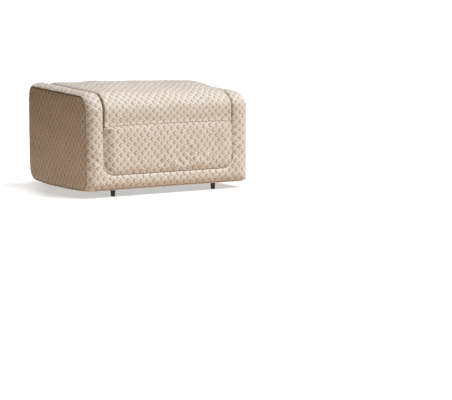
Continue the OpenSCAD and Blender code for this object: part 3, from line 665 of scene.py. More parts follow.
@dataclass(frozen=True)
class PowderCoat:
    """Dark grey textured powder coat on the frame's steel."""

    tone: Tone = (0.045, 0.045, 0.048)
    rub_scale: float = 14.0
    peel_scale: float = 900.0

    def material(self) -> bpy.types.Material:
        """Builds the finish: orange-peel bump and edges a little lighter where they rub.

        Returns:
            The material.
        """
        g = Graph("dark powder coat")
        place = g.object_place()
        rub = g.noise(place, self.rub_scale, 5.0, 0.65)
        base = g.mottled(rub, (0.55, 0.80), 0.5, self.tone, shade(self.tone, 2.1))
        g.surface(Base_Color=base, Roughness=g.steps(rub, 0.3, 0.8, (0.42, 0.58)),
                  Specular_IOR_Level=0.45)
        g.bump(g.noise(place, self.peel_scale), 0.0002, 0.5)
        return g.material


@dataclass(frozen=True)
class ZincPlate:
    """Bright zinc on bolts, pins and the piano hinge."""

    tone: Tone = (0.56, 0.58, 0.60)
    cloud_scale: float = 45.0
    scratch: Triple = (20.0, 900.0, 900.0)

    def material(self) -> bpy.types.Material:
        """Builds the finish: metal with cloudy roughness and fine scratches along X.

        Returns:
            The material.
        """
        g = Graph("zinc plate")
        place = g.object_place()
        cloud = g.noise(place, self.cloud_scale, 4.0)
        base = g.mottled(cloud, (0.35, 0.7), 0.4, self.tone, shade(self.tone, 0.78))
        g.surface(Base_Color=base, Metallic=1.0,
                  Roughness=g.steps(cloud, 0.3, 0.7, (0.25, 0.42)))
        g.bump(g.noise(g.stretched(place, self.scratch), 1.0, 3.0), 0.00008, 0.5)
        return g.material


@dataclass(frozen=True)
class Timber:
    """Sawn or peeled wood: grain lines along one axis, and plies across another if it has them."""

    name: str
    light: Tone
    dark: Tone
    stretch: Triple
    ply: float = 0.0
    rough: float = 0.55
    grain_scale: float = 6.0
    pore_scale: float = 60.0
    ply_edge: Span = (0.42, 0.52)
    ply_dark: float = 0.22

    def material(self) -> bpy.types.Material:
        """Builds the finish: stretched grain, pores, and ply lines by the place across the board.

        Returns:
            The material.
        """
        g = Graph(self.name)
        place = g.object_place()
        flow = g.stretched(place, self.stretch)
        grain = g.noise(flow, self.grain_scale, 6.0, 0.62)
        pore = g.noise(flow, self.pore_scale)
        base = g.blend(g.steps(grain, 0.32, 0.68), self.light, self.dark)
        base = g.mottled(pore, (0.60, 0.75), 0.35, base, shade(self.dark, 0.6))
        if self.ply:
            x, y, _ = g.split(place)
            layer = g.math("FRACT", g.over(g.plus(g.math("ABSOLUTE", x), y), self.ply))
            base = g.blend(g.times(g.steps(layer, *self.ply_edge), self.ply_dark), base,
                           self.dark)
        g.surface(Base_Color=base, Roughness=self.rough, Specular_IOR_Level=0.35)
        g.bump(g.plus(grain, g.times(pore, 0.4)), 0.0003, 0.5)
        return g.material


@dataclass(frozen=True)
class MouldedRubber:
    """Matt black rubber and plastic."""

    tone: Tone = (0.018, 0.018, 0.018)
    dusty: Tone = (0.06, 0.058, 0.055)
    dust_scale: float = 30.0
    grain_scale: float = 1400.0

    def material(self) -> bpy.types.Material:
        """Builds the finish: a fine moulded grain and dusty patches.

        Returns:
            The material.
        """
        g = Graph("moulded rubber")
        place = g.object_place()
        dust = g.noise(place, self.dust_scale, 4.0)
        g.surface(Base_Color=g.mottled(dust, (0.5, 0.8), 0.5, self.tone, self.dusty),
                  Roughness=g.steps(dust, 0.3, 0.8, (0.62, 0.80)), Specular_IOR_Level=0.3)
        g.bump(g.noise(place, self.grain_scale, 1.0), 0.00015, 0.4)
        return g.material


class Wardrobe:
    """The finishes by the record's material slots, each built once."""

    def __init__(self) -> None:
        """Builds every finish."""
        self.by_slot = {
            "cover": HookJacquard().material(),
            "ticking": Ticking().material(),
            "frame_steel": PowderCoat().material(),
            "zinc": ZincPlate().material(),
            "plywood": Timber("birch plywood", (0.62, 0.46, 0.28), (0.46, 0.31, 0.17),
                              (4.0, 3.0, 40.0), ply=0.0026).material(),
            "beech": Timber("lacquered beech", (0.63, 0.42, 0.23), (0.50, 0.30, 0.15),
                            (2.0, 45.0, 45.0), rough=0.38).material(),
            "rubber": MouldedRubber().material(),
            "dark_wood": Timber("dark stained wood", (0.045, 0.026, 0.017),
                                (0.020, 0.012, 0.008), (60.0, 60.0, 6.0), rough=0.42).material(),
        }

    def dress(self, piece: bpy.types.Object, slot: str) -> None:
        """Gives a piece one slot's finish.

        Args:
            piece: the piece.
            slot: the finish's slot.
        """
        piece.data.materials.clear()
        piece.data.materials.append(self.by_slot[slot])

    def dress_nodes(self) -> None:
        """Gives each node of the model the finish that the record names for it."""
        for row in frame["record"]["subparts"]:
            node = frame["nodes"][row["node"]]
            node.data.materials.clear()
            node.data.materials.append(self.by_slot[row["material_slot"]])


# Soft work


@dataclass(frozen=True)
class Stuffing:
    """Lets a pad's cover swell over its wadding between sewn or stapled lines.

    The cover is a cloth under a light pressure. Its sewn points stay, and no other point
    ends further than the cap from where it started.
    """

    cap: float
    slack: float = 0.015
    pressure: float = 4.0
    stiffness: float = 20.0
    bending: float = 0.6
    quality: int = 4
    frames: int = 20

    def swell(self, piece: bpy.types.Object, *sewn: Array) -> None:
        """Runs the cloth and keeps its result in the mesh.

        A move of length m becomes one of cap * tanh(m / cap), so it never passes the cap.

        Args:
            piece: the pad, with no modifiers.
            sewn: the numbers of the points that stay.
        """
        mesh = piece.data
        rest = np.zeros(len(mesh.vertices) * 3)
        mesh.vertices.foreach_get("co", rest)
        group = piece.vertex_groups.new(name="sewn")
        group.add(np.unique(np.concatenate([k.ravel() for k in sewn])).tolist(), 1.0, "REPLACE")
        cloth = piece.modifiers.new("wadding", "CLOTH")
        cloth.settings.vertex_group_mass = group.name
        cloth.settings.use_pressure = True
        cloth.settings.uniform_pressure_force = self.pressure
        cloth.settings.quality = self.quality
        cloth.settings.shrink_min = -self.slack
        cloth.settings.effector_weights.gravity = 0.0
        cloth.settings.tension_stiffness = self.stiffness
        cloth.settings.compression_stiffness = self.stiffness
        cloth.settings.bending_stiffness = self.bending
        cloth.collision_settings.use_collision = False
        cloth.point_cache.frame_start = 1
        cloth.point_cache.frame_end = self.frames
        scene = bpy.context.scene
        for step in range(1, self.frames + 1):
            scene.frame_set(step)
        shown = piece.evaluated_get(bpy.context.evaluated_depsgraph_get())
        moved = np.zeros_like(rest)
        shown.data.vertices.foreach_get("co", moved)
        piece.modifiers.remove(cloth)
        piece.vertex_groups.remove(group)
        scene.frame_set(1)
        step = (moved - rest).reshape(-1, 3)
        length = np.linalg.norm(step, axis=1, keepdims=True) + 1e-12
        step *= self.cap * np.tanh(length / self.cap) / length
        mesh.vertices.foreach_set("co", (rest.reshape(-1, 3) + step).reshape(-1))
        mesh.update()
        most = 1000 * np.linalg.norm(step, axis=1).max()
        LOG.info("%s swelled by up to %.1f mm", piece.name, most)


def finish_trim(piece: bpy.types.Object, body: str, wardrobe: Wardrobe, slot: str) -> None:
    """Dresses a piece and ties it to its body.

    Args:
        piece: the piece.
        body: the body that it rides on.
        wardrobe: the finishes.
        slot: the finish's slot.
    """
    wardrobe.dress(piece, slot)
    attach(piece, body)
    LOG.info("%s: %d points, on %s", piece.name, len(piece.data.vertices), body)


def finish_pad(piece: bpy.types.Object, body: str, node: str, wardrobe: Wardrobe, slot: str,
               levels: int = 1) -> None:
    """Smooths a pad, dresses it, ties it to its body and hides the node it stands for.

    Args:
        piece: the pad.
        body: the body that it rides on.
        node: the model's node that it replaces.
        wardrobe: the finishes.
        slot: the finish's slot.
        levels: subdivision levels.
    """
    if levels:
        smooth = piece.modifiers.new("smooth", "SUBSURF")
        smooth.levels = smooth.render_levels = levels
    finish_trim(piece, body, wardrobe, slot)
    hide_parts(node)


def tube(name: str, path: Array, radius: float, closed: bool = False,
         sides: int = 8) -> bpy.types.Object:
    """A round cord carried along a path: each point plus radius times its two cross directions.

    Args:
        name: the piece's name.
        path: its middle line, (n, 3).
        radius: its radius.
        closed: whether the path is a loop.
        sides: corners of its section.

    Returns:
        The object, with the length along it and round it as its cloth map.
    """
    around = np.roll(path, -1, 0) - np.roll(path, 1, 0)
    along = around if closed else np.gradient(path, axis=0)
    along /= np.linalg.norm(along, axis=1, keepdims=True)
    guide = np.where(np.abs(along[:, :1]) > 0.9, [[0.0, 0.0, 1.0]], [[1.0, 0.0, 0.0]])
    first = np.cross(along, guide)
    first /= np.linalg.norm(first, axis=1, keepdims=True)
    second = np.cross(along, first)
    turn = np.linspace(0.0, 2.0 * np.pi, sides, endpoint=False)[None, :, None]
    skin = path[:, None] + radius * (np.cos(turn) * first[:, None] + np.sin(turn) * second[:, None])
    index = np.arange(len(path) * sides).reshape(-1, sides)
    line = path
    rows = index
    if closed:
        line, rows = np.concatenate([path, path[:1]]), np.concatenate([index, index[:1]])
    turned = [0, 3, 2, 1]
    faces = cell_corners(closed_round(rows))[:, turned]
    girth = np.arange(sides + 1) * 2.0 * np.pi * radius / sides
    flat = np.stack(np.broadcast_arrays(arc_lengths(line)[:, None], girth[None]), -1)
    cloth = cell_corners(flat)[:, turned]
    points = skin.reshape(-1, 3)
    if not closed:
        points = np.concatenate([points, path[:1], path[-1:]])
        for tip, ring in ((len(points) - 2, index[0][::-1]), (len(points) - 1, index[-1])):
            cap = np.stack([ring[::2], np.roll(ring, -1)[::2], np.roll(ring, -2)[::2],
                            np.full(sides // 2, tip)], -1)
            faces = np.concatenate([faces, cap])
            cloth = np.concatenate([cloth, np.zeros((len(cap), 4, 2))])
    return mesh_object(name, points, faces, cloth)


# Sub-assemblies


@dataclass(frozen=True)
class Rake:
    """How the padded top slopes: up towards the back, and a little down to the right.

    The covers follow it above their boards, and nothing below the low height moves.
    """

    back: float = 0.043
    right: float = -0.022
    low: float = 0.43
    high: float = 0.55

    def lift(self, points: Array) -> Array:
        """Points moved up by (back * y + right * x), times a smooth step of their height.

        Args:
            points: places in the ottoman's space, (n, 3).

        Returns:
            The moved points.
        """
        moved = points.copy()
        share = smooth_step(points[:, 2], self.low, self.high)
        moved[:, 2] += share * (self.back * points[:, 1] + self.right * points[:, 0])
        return moved


@dataclass(frozen=True)
class Opening:
    """The edge that the arms' and the apron's covers roll into, tighter beside the arms.

    Its lower corners are arcs about a centre in X and Z on either side. The right arm's roll
    is tighter still below the flap's hem.
    """

    radius: float = 0.060
    arm_roll: float = 0.013
    right_roll: float = 0.007
    apron_roll: float = 0.022
    hem: Span = (0.345, 0.385)
    corner: Span = (10.0, 75.0)

    def side_roll(self, x: Array, z: Array) -> Array:
        """Radius of the roll on the arm at some places, of which only X's sign counts."""
        beside = (np.asarray(x) > 0) * fade_out(z, *self.hem)
        return self.arm_roll + (self.right_roll - self.arm_roll) * beside

    def centre(self) -> Span:
        """X and Z of the right corner's centre."""
        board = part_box("front_apron_board")[1]
        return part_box("right_arm_pad")[0].x - self.radius, board.z + self.radius

    def roll(self, x: Array, z: Array) -> Array:
        """Radius of the roll anywhere round the opening.

        It goes smoothly from the apron's to the arms' with the angle from straight down, seen
        from the corner's centre.

        Args:
            x: places across.
            z: their heights.

        Returns:
            The radii.
        """
        cx, cz = self.centre()
        turn = np.degrees(np.arctan2(np.maximum(np.abs(x) - cx, 0.0), np.maximum(cz - z, 1e-9)))
        beside = smooth_step(turn, *self.corner)
        return self.apron_roll + (self.side_roll(x, z) - self.apron_roll) * beside


@dataclass(frozen=True)
class Sag:
    """How the cloth of an arm's outer face hangs at its foot: most in the middle."""

    drop: float = 0.011
    height: float = 0.16
    back: Span = (0.10, 0.33)
    front: Span = (-0.35, -0.15)
    front_less: float = 0.6
    skin: float = 0.015
    through: float = 0.8

    def at(self, y: Array, above: Array, deep: Array, thick: float) -> Array:
        """The drop times fades upwards, to the back, a little to the front, and inwards.

        Args:
            y: places along the arm.
            above: their heights over its foot.
            deep: their depths behind its outer face.
            thick: the arm's thickness.

        Returns:
            How far they hang down.
        """
        along = fade_out(y, *self.back) * (1 - self.front_less * fade_out(y, *self.front))
        inwards = fade_out(deep, self.skin, self.through * thick)
        return self.drop * fade_out(above, 0.0, self.height) * along * inwards


@dataclass
class Arm:
    """A padded side: a crowned outer face sewn to a band that rolls into the front groove."""

    side: Side
    opening: Opening = Opening()
    rake: Rake = Rake()
    hang: Sag = Sag()
    corners: Sequence[float] = (0.045, 0.100, 0.078, 0.095)
    longer: float = 0.014
    crown: float = 0.004
    crown_power: float = 3.0
    tight: float = 0.7
    seam_half: float = 0.0042
    seam_front: float = 0.0045
    seam_inner: float = 0.3
    seam_depth: float = 0.0085
    seam_lip: float = 0.0024
    edge_length: float = 0.066
    edge_deg: float = 59.0
    edge_power: float = 1.12
    low_tuck: float = 0.65
    front_more: float = 0.04
    top_less: float = 0.38
    corner_more: float = 0.28
    facing: Span = (0.2, 1.0)
    puff: Span = (0.0005, 0.014)
    bulge: float = 0.0035
    bulge_z: Span = (-0.009, 0.020)
    bulge_y: Span = (0.20, 0.28)
    slimmer: float = 0.5
    slim_y: Span = (0.05, 0.25)
    low_zone: float = 0.12
    foot: float = 0.02
    joint_run: float = 0.03
    margin: float = 0.002
    board_margin: float = 0.0235
    board_t: float = 0.0123
    edge_rows: int = 10
    band_rows: int = 4
    roll_rows: int = 8
    gather: float = 0.0007
    gather_wave: float = 0.030
    gather_rows: float = 2.5
    row_gap: float = 0.004
    soft: float = 0.0014
    soft_wave: float = 0.16
    soft_power: float = 4.0
    stuffing: Stuffing = Stuffing(cap=0.0028)
    front_z: float = 0.30
    height_counts: float = 4.0
    cell: float = 0.012

    def __post_init__(self) -> None:
        """Reads the side's places from its solid, and counts its rings.

        The band's curve ends at flat_row, and from hold_from on the cover is stapled.
        """
        self.node = f"{self.side.name.lower()}_arm_pad"
        self.low, self.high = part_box(self.node)
        self.thick = self.high.x - self.low.x
        self.inner_x = min(abs(self.low.x), abs(self.high.x))
        self.flat_row = 1 + self.edge_rows
        self.hold_from = self.flat_row + self.band_rows + self.roll_rows

    def build(self, wardrobe: Wardrobe) -> None:
        """Builds the arm, sewn along its seam and over its board, and dresses it.

        Args:
            wardrobe: the finishes.
        """
        low, high = self.low, self.high
        cells = (round((high.y - low.y) / self.cell), round((high.z - low.z) / self.cell))
        outline = RoundedFrame((low.y, low.z), (high.y + self.longer, high.z),
                               self.corners, cells)
        shell = PadForm(outline, self.rim(outline.ring()), pillow(self.crown, self.crown_power),
                        wrap=Wrap.BAND, tight=self.tight).build()
        self.turn_cloth(shell, outline)
        self.pucker(shell)
        piece = shell.to_object(f"{self.side.name.lower()}_arm_cover", self.place)
        self.stuffing.swell(piece, shell.rings[:3], shell.rings[self.hold_from:], shell.back)
        finish_pad(piece, "base", self.node, wardrobe, "cover")

    def place(self, p: Array) -> Array:
        """Maps the flat space to the ottoman's: (Y, Z, depth) with the puff and the sag.

        Args:
            p: flat points, (n, 3).

        Returns:
            Their places.
        """
        puff = self.puff[self.side is Side.RIGHT]
        x = self.inner_x + self.thick - p[:, 2] + puff * (1 - p[:, 2] / self.thick)
        z = p[:, 1] - self.hang.at(p[:, 0], p[:, 1] - self.low.z, p[:, 2], self.thick)
        return self.rake.lift(np.stack([self.side.value * x, p[:, 0], z], -1))

    def edge_share(self, normals: Array) -> Array:
        """How wide the band's curve is at each point of the outline, by where it faces.

        Args:
            normals: the outline's normals in Y and Z.

        Returns:
            Shares of the full width.
        """
        back, up = normals.T
        share = 1 - self.low_tuck * smooth_step(-up, *self.facing)
        share += self.front_more * smooth_step(-back, *self.facing)
        if self.side is Side.LEFT:
            share -= self.top_less * smooth_step(up, *self.facing)
        corner = 2 * np.maximum(-back, 0.0) * np.maximum(up, 0.0)
        return share + self.corner_more * corner ** 2

    def rim(self, ring: Array) -> list[tuple]:
        """The rings from the outer face to the board's pocket.

        From the sewn seam the band leaves the outer face's border at the edge's angle a and
        its slope dies away as a (1 - s)^p over the edge's length, so the depth and the inset
        are running sums of the slope's cosine and sine. The inner edge rolls back by the
        depth of the opening's roll at each point.

        Args:
            ring: the outline.

        Returns:
            Depths and insets.
        """
        s = np.linspace(0.0, 1.0, self.edge_rows)
        slope = math.radians(self.edge_deg) * (1 - s) ** self.edge_power
        slope = slope[:-1] + np.diff(slope) / 2
        step = self.edge_length * np.diff(s)
        deep, fall = (np.concatenate([[0.0], np.cumsum(step * way(slope))])
                      for way in (np.cos, np.sin))
        normals = outward(ring)
        wide = self.seam_half + self.seam_front * np.maximum(-normals[:, 0], 0.0)
        share = self.edge_share(normals)
        edge = fall[-1] * share
        rows = [(self.crown, edge + wide),
                (self.crown + self.seam_depth, edge + self.seam_inner * wide)]
        rows += [(self.crown - self.seam_lip + x, edge - y * share) for x, y in zip(deep, fall)]
        band = np.linspace(self.crown + deep[-1] + self.margin,
                           self.thick - self.opening.apron_roll - self.margin, self.band_rows)
        rows += [(x, 0.0) for x in band]
        rows += [self.inner_edge(ring, turn)
                 for turn in np.radians(np.linspace(0.0, 90.0, self.roll_rows))]
        return rows + [(self.thick, self.board_margin),
                       (self.thick - self.board_t, self.board_margin)]

    def inner_edge(self, ring: Array, turn: float) -> tuple[Array, Array]:
        """Depth and inset of the inner roll at one turn, for each point of the outline.

        The depth is that of a circle of the roll's radius r. With the distance q from the
        opening's edge, the inset is r - sqrt(r^2 - (r - q)^2). On the front the edge follows
        the opening's round lower corner, and it fades out where the apron joins the arm.

        Args:
            ring: the outline.
            turn: the angle round the roll, 0 at the band and a right angle at the inner face.

        Returns:
            Depths and insets.
        """
        y, z = ring.T
        cx, cz = self.opening.centre()
        joint_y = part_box("front_apron_board")[1].y
        swell = self.bulge * smooth_step(z - cz, *self.bulge_z) * fade_out(y, *self.bulge_y)
        r = self.opening.side_roll(self.side.value, z)
        r = r * (1 - self.slimmer * smooth_step(y, *self.slim_y))
        depth = self.thick + swell - r * (1 - math.sin(turn))
        plain = r * (1 - math.cos(turn))
        x = self.inner_x + self.thick - depth
        here = self.opening.roll(self.side.value * x, z)
        away = np.hypot(np.maximum(x + swell - cx, 0.0), np.minimum(z - cz, 0.0))
        gap = np.clip(away - self.opening.radius, 0.0, here)
        front = here - np.sqrt(np.maximum(here ** 2 - (here - gap) ** 2, 0.0))
        under = plain * smooth_step(y, joint_y, joint_y + self.joint_run)
        low_down = z < cz + self.low_zone
        on_foot = low_down & (z < self.low.z + self.foot)
        return depth, np.where(low_down & (y < joint_y), front, np.where(on_foot, under, plain))

    def turn_cloth(self, shell: Shell, outline: RoundedFrame) -> None:
        """Turns the cloth so that the hooks look the same way round on every side.

        On the outer face it runs towards the front on the left arm and towards the back on
        the right one. On the band it runs across, and up at the front.

        Args:
            shell: the arm's shell.
            outline: its outline.
        """
        rim_at = 2 * (shell.face.shape[0] - 1) * (shell.face.shape[1] - 1)
        face, band = shell.cloth[:rim_at], shell.cloth[rim_at:]
        face[..., 0] *= self.side.value
        ring = outline.ring()
        at = arc_lengths(np.concatenate([ring, ring[:1]]))
        front = np.argmin(np.abs(ring[:, 0] - self.low.y)
                          + self.height_counts * np.abs(ring[:, 1] - self.front_z))
        edge = shell.points[shell.rings[:self.flat_row + 1]]
        over = np.linalg.norm(np.diff(edge, axis=0), axis=2).mean(1).sum()
        flat_x = self.inner_x + self.thick - edge[-1, :, 2].mean()
        # The outline runs down the front, so the cloth's up is against it
        band[:] = np.stack([self.side.value * (flat_x - (band[..., 0] - over)),
                            ring[front, 1] + at[front] - band[..., 1]], -1)

    def pucker(self, shell: Shell) -> None:
        """Draws fine gathers along the seam, which die away over the rings, and soft waves.

        Args:
            shell: the arm's shell.
        """
        p = shell.points
        wave = Ripple(11 + self.side.value, self.gather_wave)
        for row in range(1, self.hold_from):
            ids = shell.rings[row]
            flat = p[ids, :2]
            fade = math.exp(-(row - 1) / self.gather_rows)
            at = np.stack([arc_lengths(flat), np.full(len(ids), self.row_gap * row)], -1)
            p[ids, :2] += outward(flat) * (self.gather * fade * wave.at(at))[:, None]
        shell.wave(shell.face, self.soft, Ripple(21 + self.side.value, self.soft_wave),
                   self.soft_power)


@dataclass
class Apron:
    """The padded bar under the opening: its top rolls over, and its ends rise at the corners."""

    opening: Opening = Opening()
    low_r: float = 0.045
    straight_cells: int = 63
    corner_cells: int = 14
    roll_deg: Span = (15.0, 90.0)
    roll_rows: int = 6
    top_rows: int = 3
    face_rows: int = 5
    turn_rows: int = 8
    soft: float = 0.0008
    relief: Ripple = Ripple(5, 0.07)
    still: Span = (0.004, 0.06)
    piping_r: float = 0.0034
    piping_deg: float = 62.0
    piping_out: float = 0.7
    piping_short: float = 0.046
    piping_wave: Span = (0.0004, 90.0)
    piping_cells: int = 159

    def __post_init__(self) -> None:
        """Reads the bar's places from its solids."""
        low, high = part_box("front_apron_pad")
        self.half_x = high.x
        self.front_y, self.back_y = low.y, high.y
        self.z0 = low.z
        self.top_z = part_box("front_apron_board")[1].z
        self.straight = self.half_x - self.opening.radius

    def columns(self) -> Array:
        """X of the columns: even along the straight part, and by the arc's angle at the ends.

        Returns:
            The places across, from left to right.
        """
        turn = np.radians(np.linspace(0.0, 90.0, self.corner_cells + 1))[1:]
        end = self.straight + self.opening.radius * np.sin(turn)
        middle = np.linspace(-self.straight, self.straight, self.straight_cells + 1)
        return np.concatenate([-end[::-1], middle, end])

    def edge(self, x: Array, back: Array) -> Array:
        """Height of the opening's edge drawn back by a distance.

        Past the straight part it is the arc's centre height less sqrt(r^2 - dx^2).

        Args:
            x: places across.
            back: the distance.

        Returns:
            The heights.
        """
        radius = self.opening.radius + back
        past = np.maximum(np.abs(x) - self.straight, 0.0)
        drop = np.sqrt(np.maximum(radius ** 2 - past ** 2, 0.0))
        return self.top_z + self.opening.radius - drop

    def build(self, wardrobe: Wardrobe) -> None:
        """Builds the bar as a grid over its columns and down its profile, closed behind.

        Args:
            wardrobe: the finishes.
        """
        x = self.columns()
        rim = self.edge(x, 0.0 * x)
        r = self.opening.roll(x, rim)
        rows = [(self.back_y + (self.front_y + r - self.back_y) * t, rim)
                for t in np.linspace(0, 1, self.top_rows + 1)]
        rows += [(self.front_y + r * (1 - math.sin(t)), self.edge(x, r * (1 - math.cos(t))))
                 for t in np.radians(np.linspace(*self.roll_deg, self.roll_rows))]
        face_from = len(rows) - 1
        top, low = self.edge(x, r), self.z0 + self.low_r
        rows += [(self.front_y, top + (low - top) * t)
                 for t in np.linspace(0.0, 1.0, self.face_rows + 1)[1:]]
        face_to = len(rows) - 1
        rows += [tuple(at) for at in arc((self.front_y + self.low_r, low), self.low_r,
                                         180.0, 270.0, self.turn_rows)[1:]]
        rows.append((self.back_y, self.z0))
        skin = np.stack([np.stack(np.broadcast_arrays(x, y, z), -1) for y, z in rows])
        ends = smooth_step(self.half_x - np.abs(x), *self.still)
        shown = skin[face_from:face_to + 2]
        shown[..., 1] += self.soft * self.relief.at(shown[..., ::2]) * ends
        down = np.linalg.norm(np.diff(skin, axis=0), axis=2)
        down = np.concatenate([np.zeros((1, len(x))), np.cumsum(down, 0)])
        flat = np.stack([np.broadcast_to(x, down.shape),
                         skin[face_to, :, 2] + down[face_to] - down], -1)
        points = skin.reshape(-1, 3)
        index = np.arange(len(points)).reshape(down.shape)
        behind = np.stack([index[-1, :-1], index[0, :-1], index[0, 1:], index[-1, 1:]], -1)
        extra = np.concatenate([behind, self.end_cap(index[:, 0]),
                                self.end_cap(index[:, -1])[:, ::-1]])
        piece = mesh_object("front_apron_cover", points,
                            np.concatenate([cell_corners(index), extra]),
                            np.concatenate([cell_corners(flat), points[extra][..., ::2]]))
        finish_pad(piece, "base", "front_apron_pad", wardrobe, "cover",
                   levels=0)
        self.add_piping(wardrobe)

    def end_cap(self, column: Array) -> Array:
        """Closes an end of the bar by quads between the k-th point from its start and its end.

        Args:
            column: the end's point numbers.

        Returns:
            The quads.
        """
        k = np.arange(len(column) // 2 - 1)
        return np.stack([column[k], column[-1 - k], column[-2 - k], column[k + 1]], -1)

    def add_piping(self, wardrobe: Wardrobe) -> None:
        """Runs a thin cord along the lower edge of the front, from one arm to the other.

        Args:
            wardrobe: the finishes.
        """
        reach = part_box("right_arm_pad")[1].x - self.piping_short
        turn = math.radians(180.0 + self.piping_deg)
        out = self.low_r + self.piping_out * self.piping_r
        y = self.front_y + self.low_r + out * math.cos(turn)
        z = self.z0 + self.low_r + out * math.sin(turn)
        x = np.linspace(-reach, reach, self.piping_cells + 1)
        height, pace = self.piping_wave
        path = np.stack([x, np.full_like(x, y), z + height * np.sin(x * pace)], -1)
        finish_trim(tube("front_hem_cord", path, self.piping_r), "base", wardrobe, "cover")


@dataclass(frozen=True)
class HemArch:
    """How far the flap's hem and the panel's top edge rise between their ends."""

    rise: float = 0.008
    half: float = 0.393

    def at(self, x: Array) -> Array:
        """The rise times 1 - |x / half|^3."""
        return self.rise * (1 - np.minimum(np.abs(x) / self.half, 1.0) ** 3)


@dataclass
class FrontPanel:
    """The recessed panel below the cushion, on its board.

    Its cover is full at the top, where it meets the cushion's flap, and rounds back at the
    sides and the bottom.
    """

    arch: HemArch = HemArch()
    arch_run: Span = (0.10, 0.004)
    corner_r: float = 0.0555
    top_r: float = 0.006
    wider: float = 0.0020
    taller: float = 0.0090
    low_hem: float = 0.0080
    proud: float = 0.0105
    clear: float = 0.0006
    left_back: float = 0.0235
    left_span: float = 0.062
    right_back: float = 0.002
    low_back: float = 0.0035
    back_span: float = 0.03
    top_fade: Span = (0.045, 0.004)
    side_round: float = 0.010
    edge_round: float = 0.0045
    crown: float = 0.003
    power: float = 6.0
    face_deep: float = 0.010
    lip: float = 0.006
    board_in: float = 0.0065
    board_t: float = 0.0102
    fold: float = 0.02
    soft: float = 0.0018
    relief: Ripple = Ripple(31, 0.15)
    crease: float = 0.0045
    creases: Ripple = Ripple(32, 0.045)
    crease_at: Span = (0.10, 0.06)
    crease_span: Span = (0.22, 0.07)
    stuffing: Stuffing = Stuffing(cap=0.0025)
    cell: float = 0.011

    def __post_init__(self) -> None:
        """Reads the panel's places from its solid."""
        low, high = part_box("front_panel_pad")
        low = Vector((low.x, low.y, low.z - self.low_hem))
        self.front_y = low.y - self.proud
        self.thick = high.y - low.y + self.proud - self.clear
        self.half_x, self.top_z = high.x + self.wider, high.z + self.taller
        self.low_z = low.z

    def build(self, wardrobe: Wardrobe) -> None:
        """Builds the panel with slack cloth low in its middle, and dresses it.

        Args:
            wardrobe: the finishes.
        """
        low_z, top_z = self.low_z, self.top_z
        cells = (round(2 * self.half_x / self.cell), round((top_z - low_z) / self.cell))
        outline = RoundedFrame((-self.half_x, low_z), (self.half_x, top_z),
                               (self.corner_r, self.corner_r, self.top_r, self.top_r), cells)
        shell = PadForm(outline, self.rim(outline.ring()), self.stand_out).build()
        flat = shell.points[shell.face[1:-1, 1:-1]][..., :2] - [0.0, low_z]
        spot = np.exp(-(((flat - self.crease_at) / self.crease_span) ** 2).sum(-1))
        shell.wave(shell.face, self.soft, self.relief, self.power)
        shell.wave(shell.face, self.crease * spot, self.creases, self.power)
        p = shell.points
        near = fade_out(p[:, 2], self.face_deep, self.thick - self.lip)
        near *= smooth_step(p[:, 1], top_z - self.arch_run[0], top_z - self.arch_run[1])
        p[:, 1] += self.arch.at(p[:, 0]) * near
        piece = shell.to_object("front_panel_cover", lambda q: np.stack(
            [q[:, 0], self.front_y + q[:, 2], q[:, 1]], -1))
        self.stuffing.swell(piece, shell.rings, shell.back)
        finish_pad(piece, "front_panel", "front_panel_pad", wardrobe, "cover")

    def rim(self, ring: Array) -> list[tuple]:
        """The rings: a quarter-round, wider at the left, then the side and the board's pocket.

        Args:
            ring: the outline.

        Returns:
            Depths and insets.
        """
        x, z = ring.T
        near = smooth_step(-x, self.half_x - self.back_span, self.half_x)
        near = near * fade_out(z, self.top_z - self.back_span, self.top_z)
        turn_r = self.edge_round + (self.side_round - self.edge_round) * near
        back = self.set_back(ring - outward(ring) * turn_r[:, None])
        rows = [(back + turn_r * d, turn_r * e) for d, e in quarter(1.0, 5)]
        hem = np.where(z > self.top_z - self.fold, self.taller, self.wider)
        pocket = self.board_in + np.where(z < self.low_z + self.fold, self.low_hem, hem)
        return rows + [(self.thick - self.lip, 0.0), (self.thick, 0.0), (self.thick, pocket),
                       (self.thick - self.board_t, pocket)]

    def stand_out(self, grid: Array) -> Array:
        """The way from the ruled grid to the wanted depth, plus a slight pillow."""
        return grid[..., 2] - self.set_back(grid) + pillow(self.crown, self.power)(grid)

    def set_back(self, places: Array) -> Array:
        """How far the face lies back at some places: it curves in towards the left arm.

        Each edge's own set-back dies away from it by a smooth step, and all of them do so
        towards the top.

        Args:
            places: points in X and Z, (..., 2 or 3).

        Returns:
            Depths.
        """
        x, z = places[..., 0], places[..., 1]
        left = self.left_back * fade_out(x + self.half_x, 0.0, self.left_span)
        right = self.right_back * fade_out(self.half_x - x, 0.0, self.back_span)
        low = self.low_back * fade_out(z - self.low_z, 0.0, self.back_span)
        top = fade_out(z, self.top_z - self.top_fade[0], self.top_z - self.top_fade[1])
        return np.maximum(left, low + right) * top


@dataclass(frozen=True)
class Bend:
    """Bends a pad's flat space over a side profile.

    b is the length along the outer line. A point lies on the straight line from the outer
    line to the inner one at the same share of their lengths, at its depth over the
    thickness.
    """

    outer: Array
    inner: Array
    thick: float

    @property
    def length(self) -> float:
        """Length of the outer line."""
        return float(arc_lengths(self.outer)[-1])

    def place(self, p: Array) -> Array:
        """Maps flat points to the ottoman's space.

        Args:
            p: the points, (n, 3).

        Returns:
            Their places.
        """
        share = p[:, 1] / self.length
        lines = []
        for line in (self.outer, self.inner):
            at = arc_lengths(line)
            at /= at[-1]
            lines.append(np.stack([np.interp(share, at, line[:, k]) for k in range(2)], -1))
        deep = (p[:, 2] / self.thick)[:, None]
        return np.concatenate([p[:, :1], lines[0] * (1 - deep) + lines[1] * deep], 1)


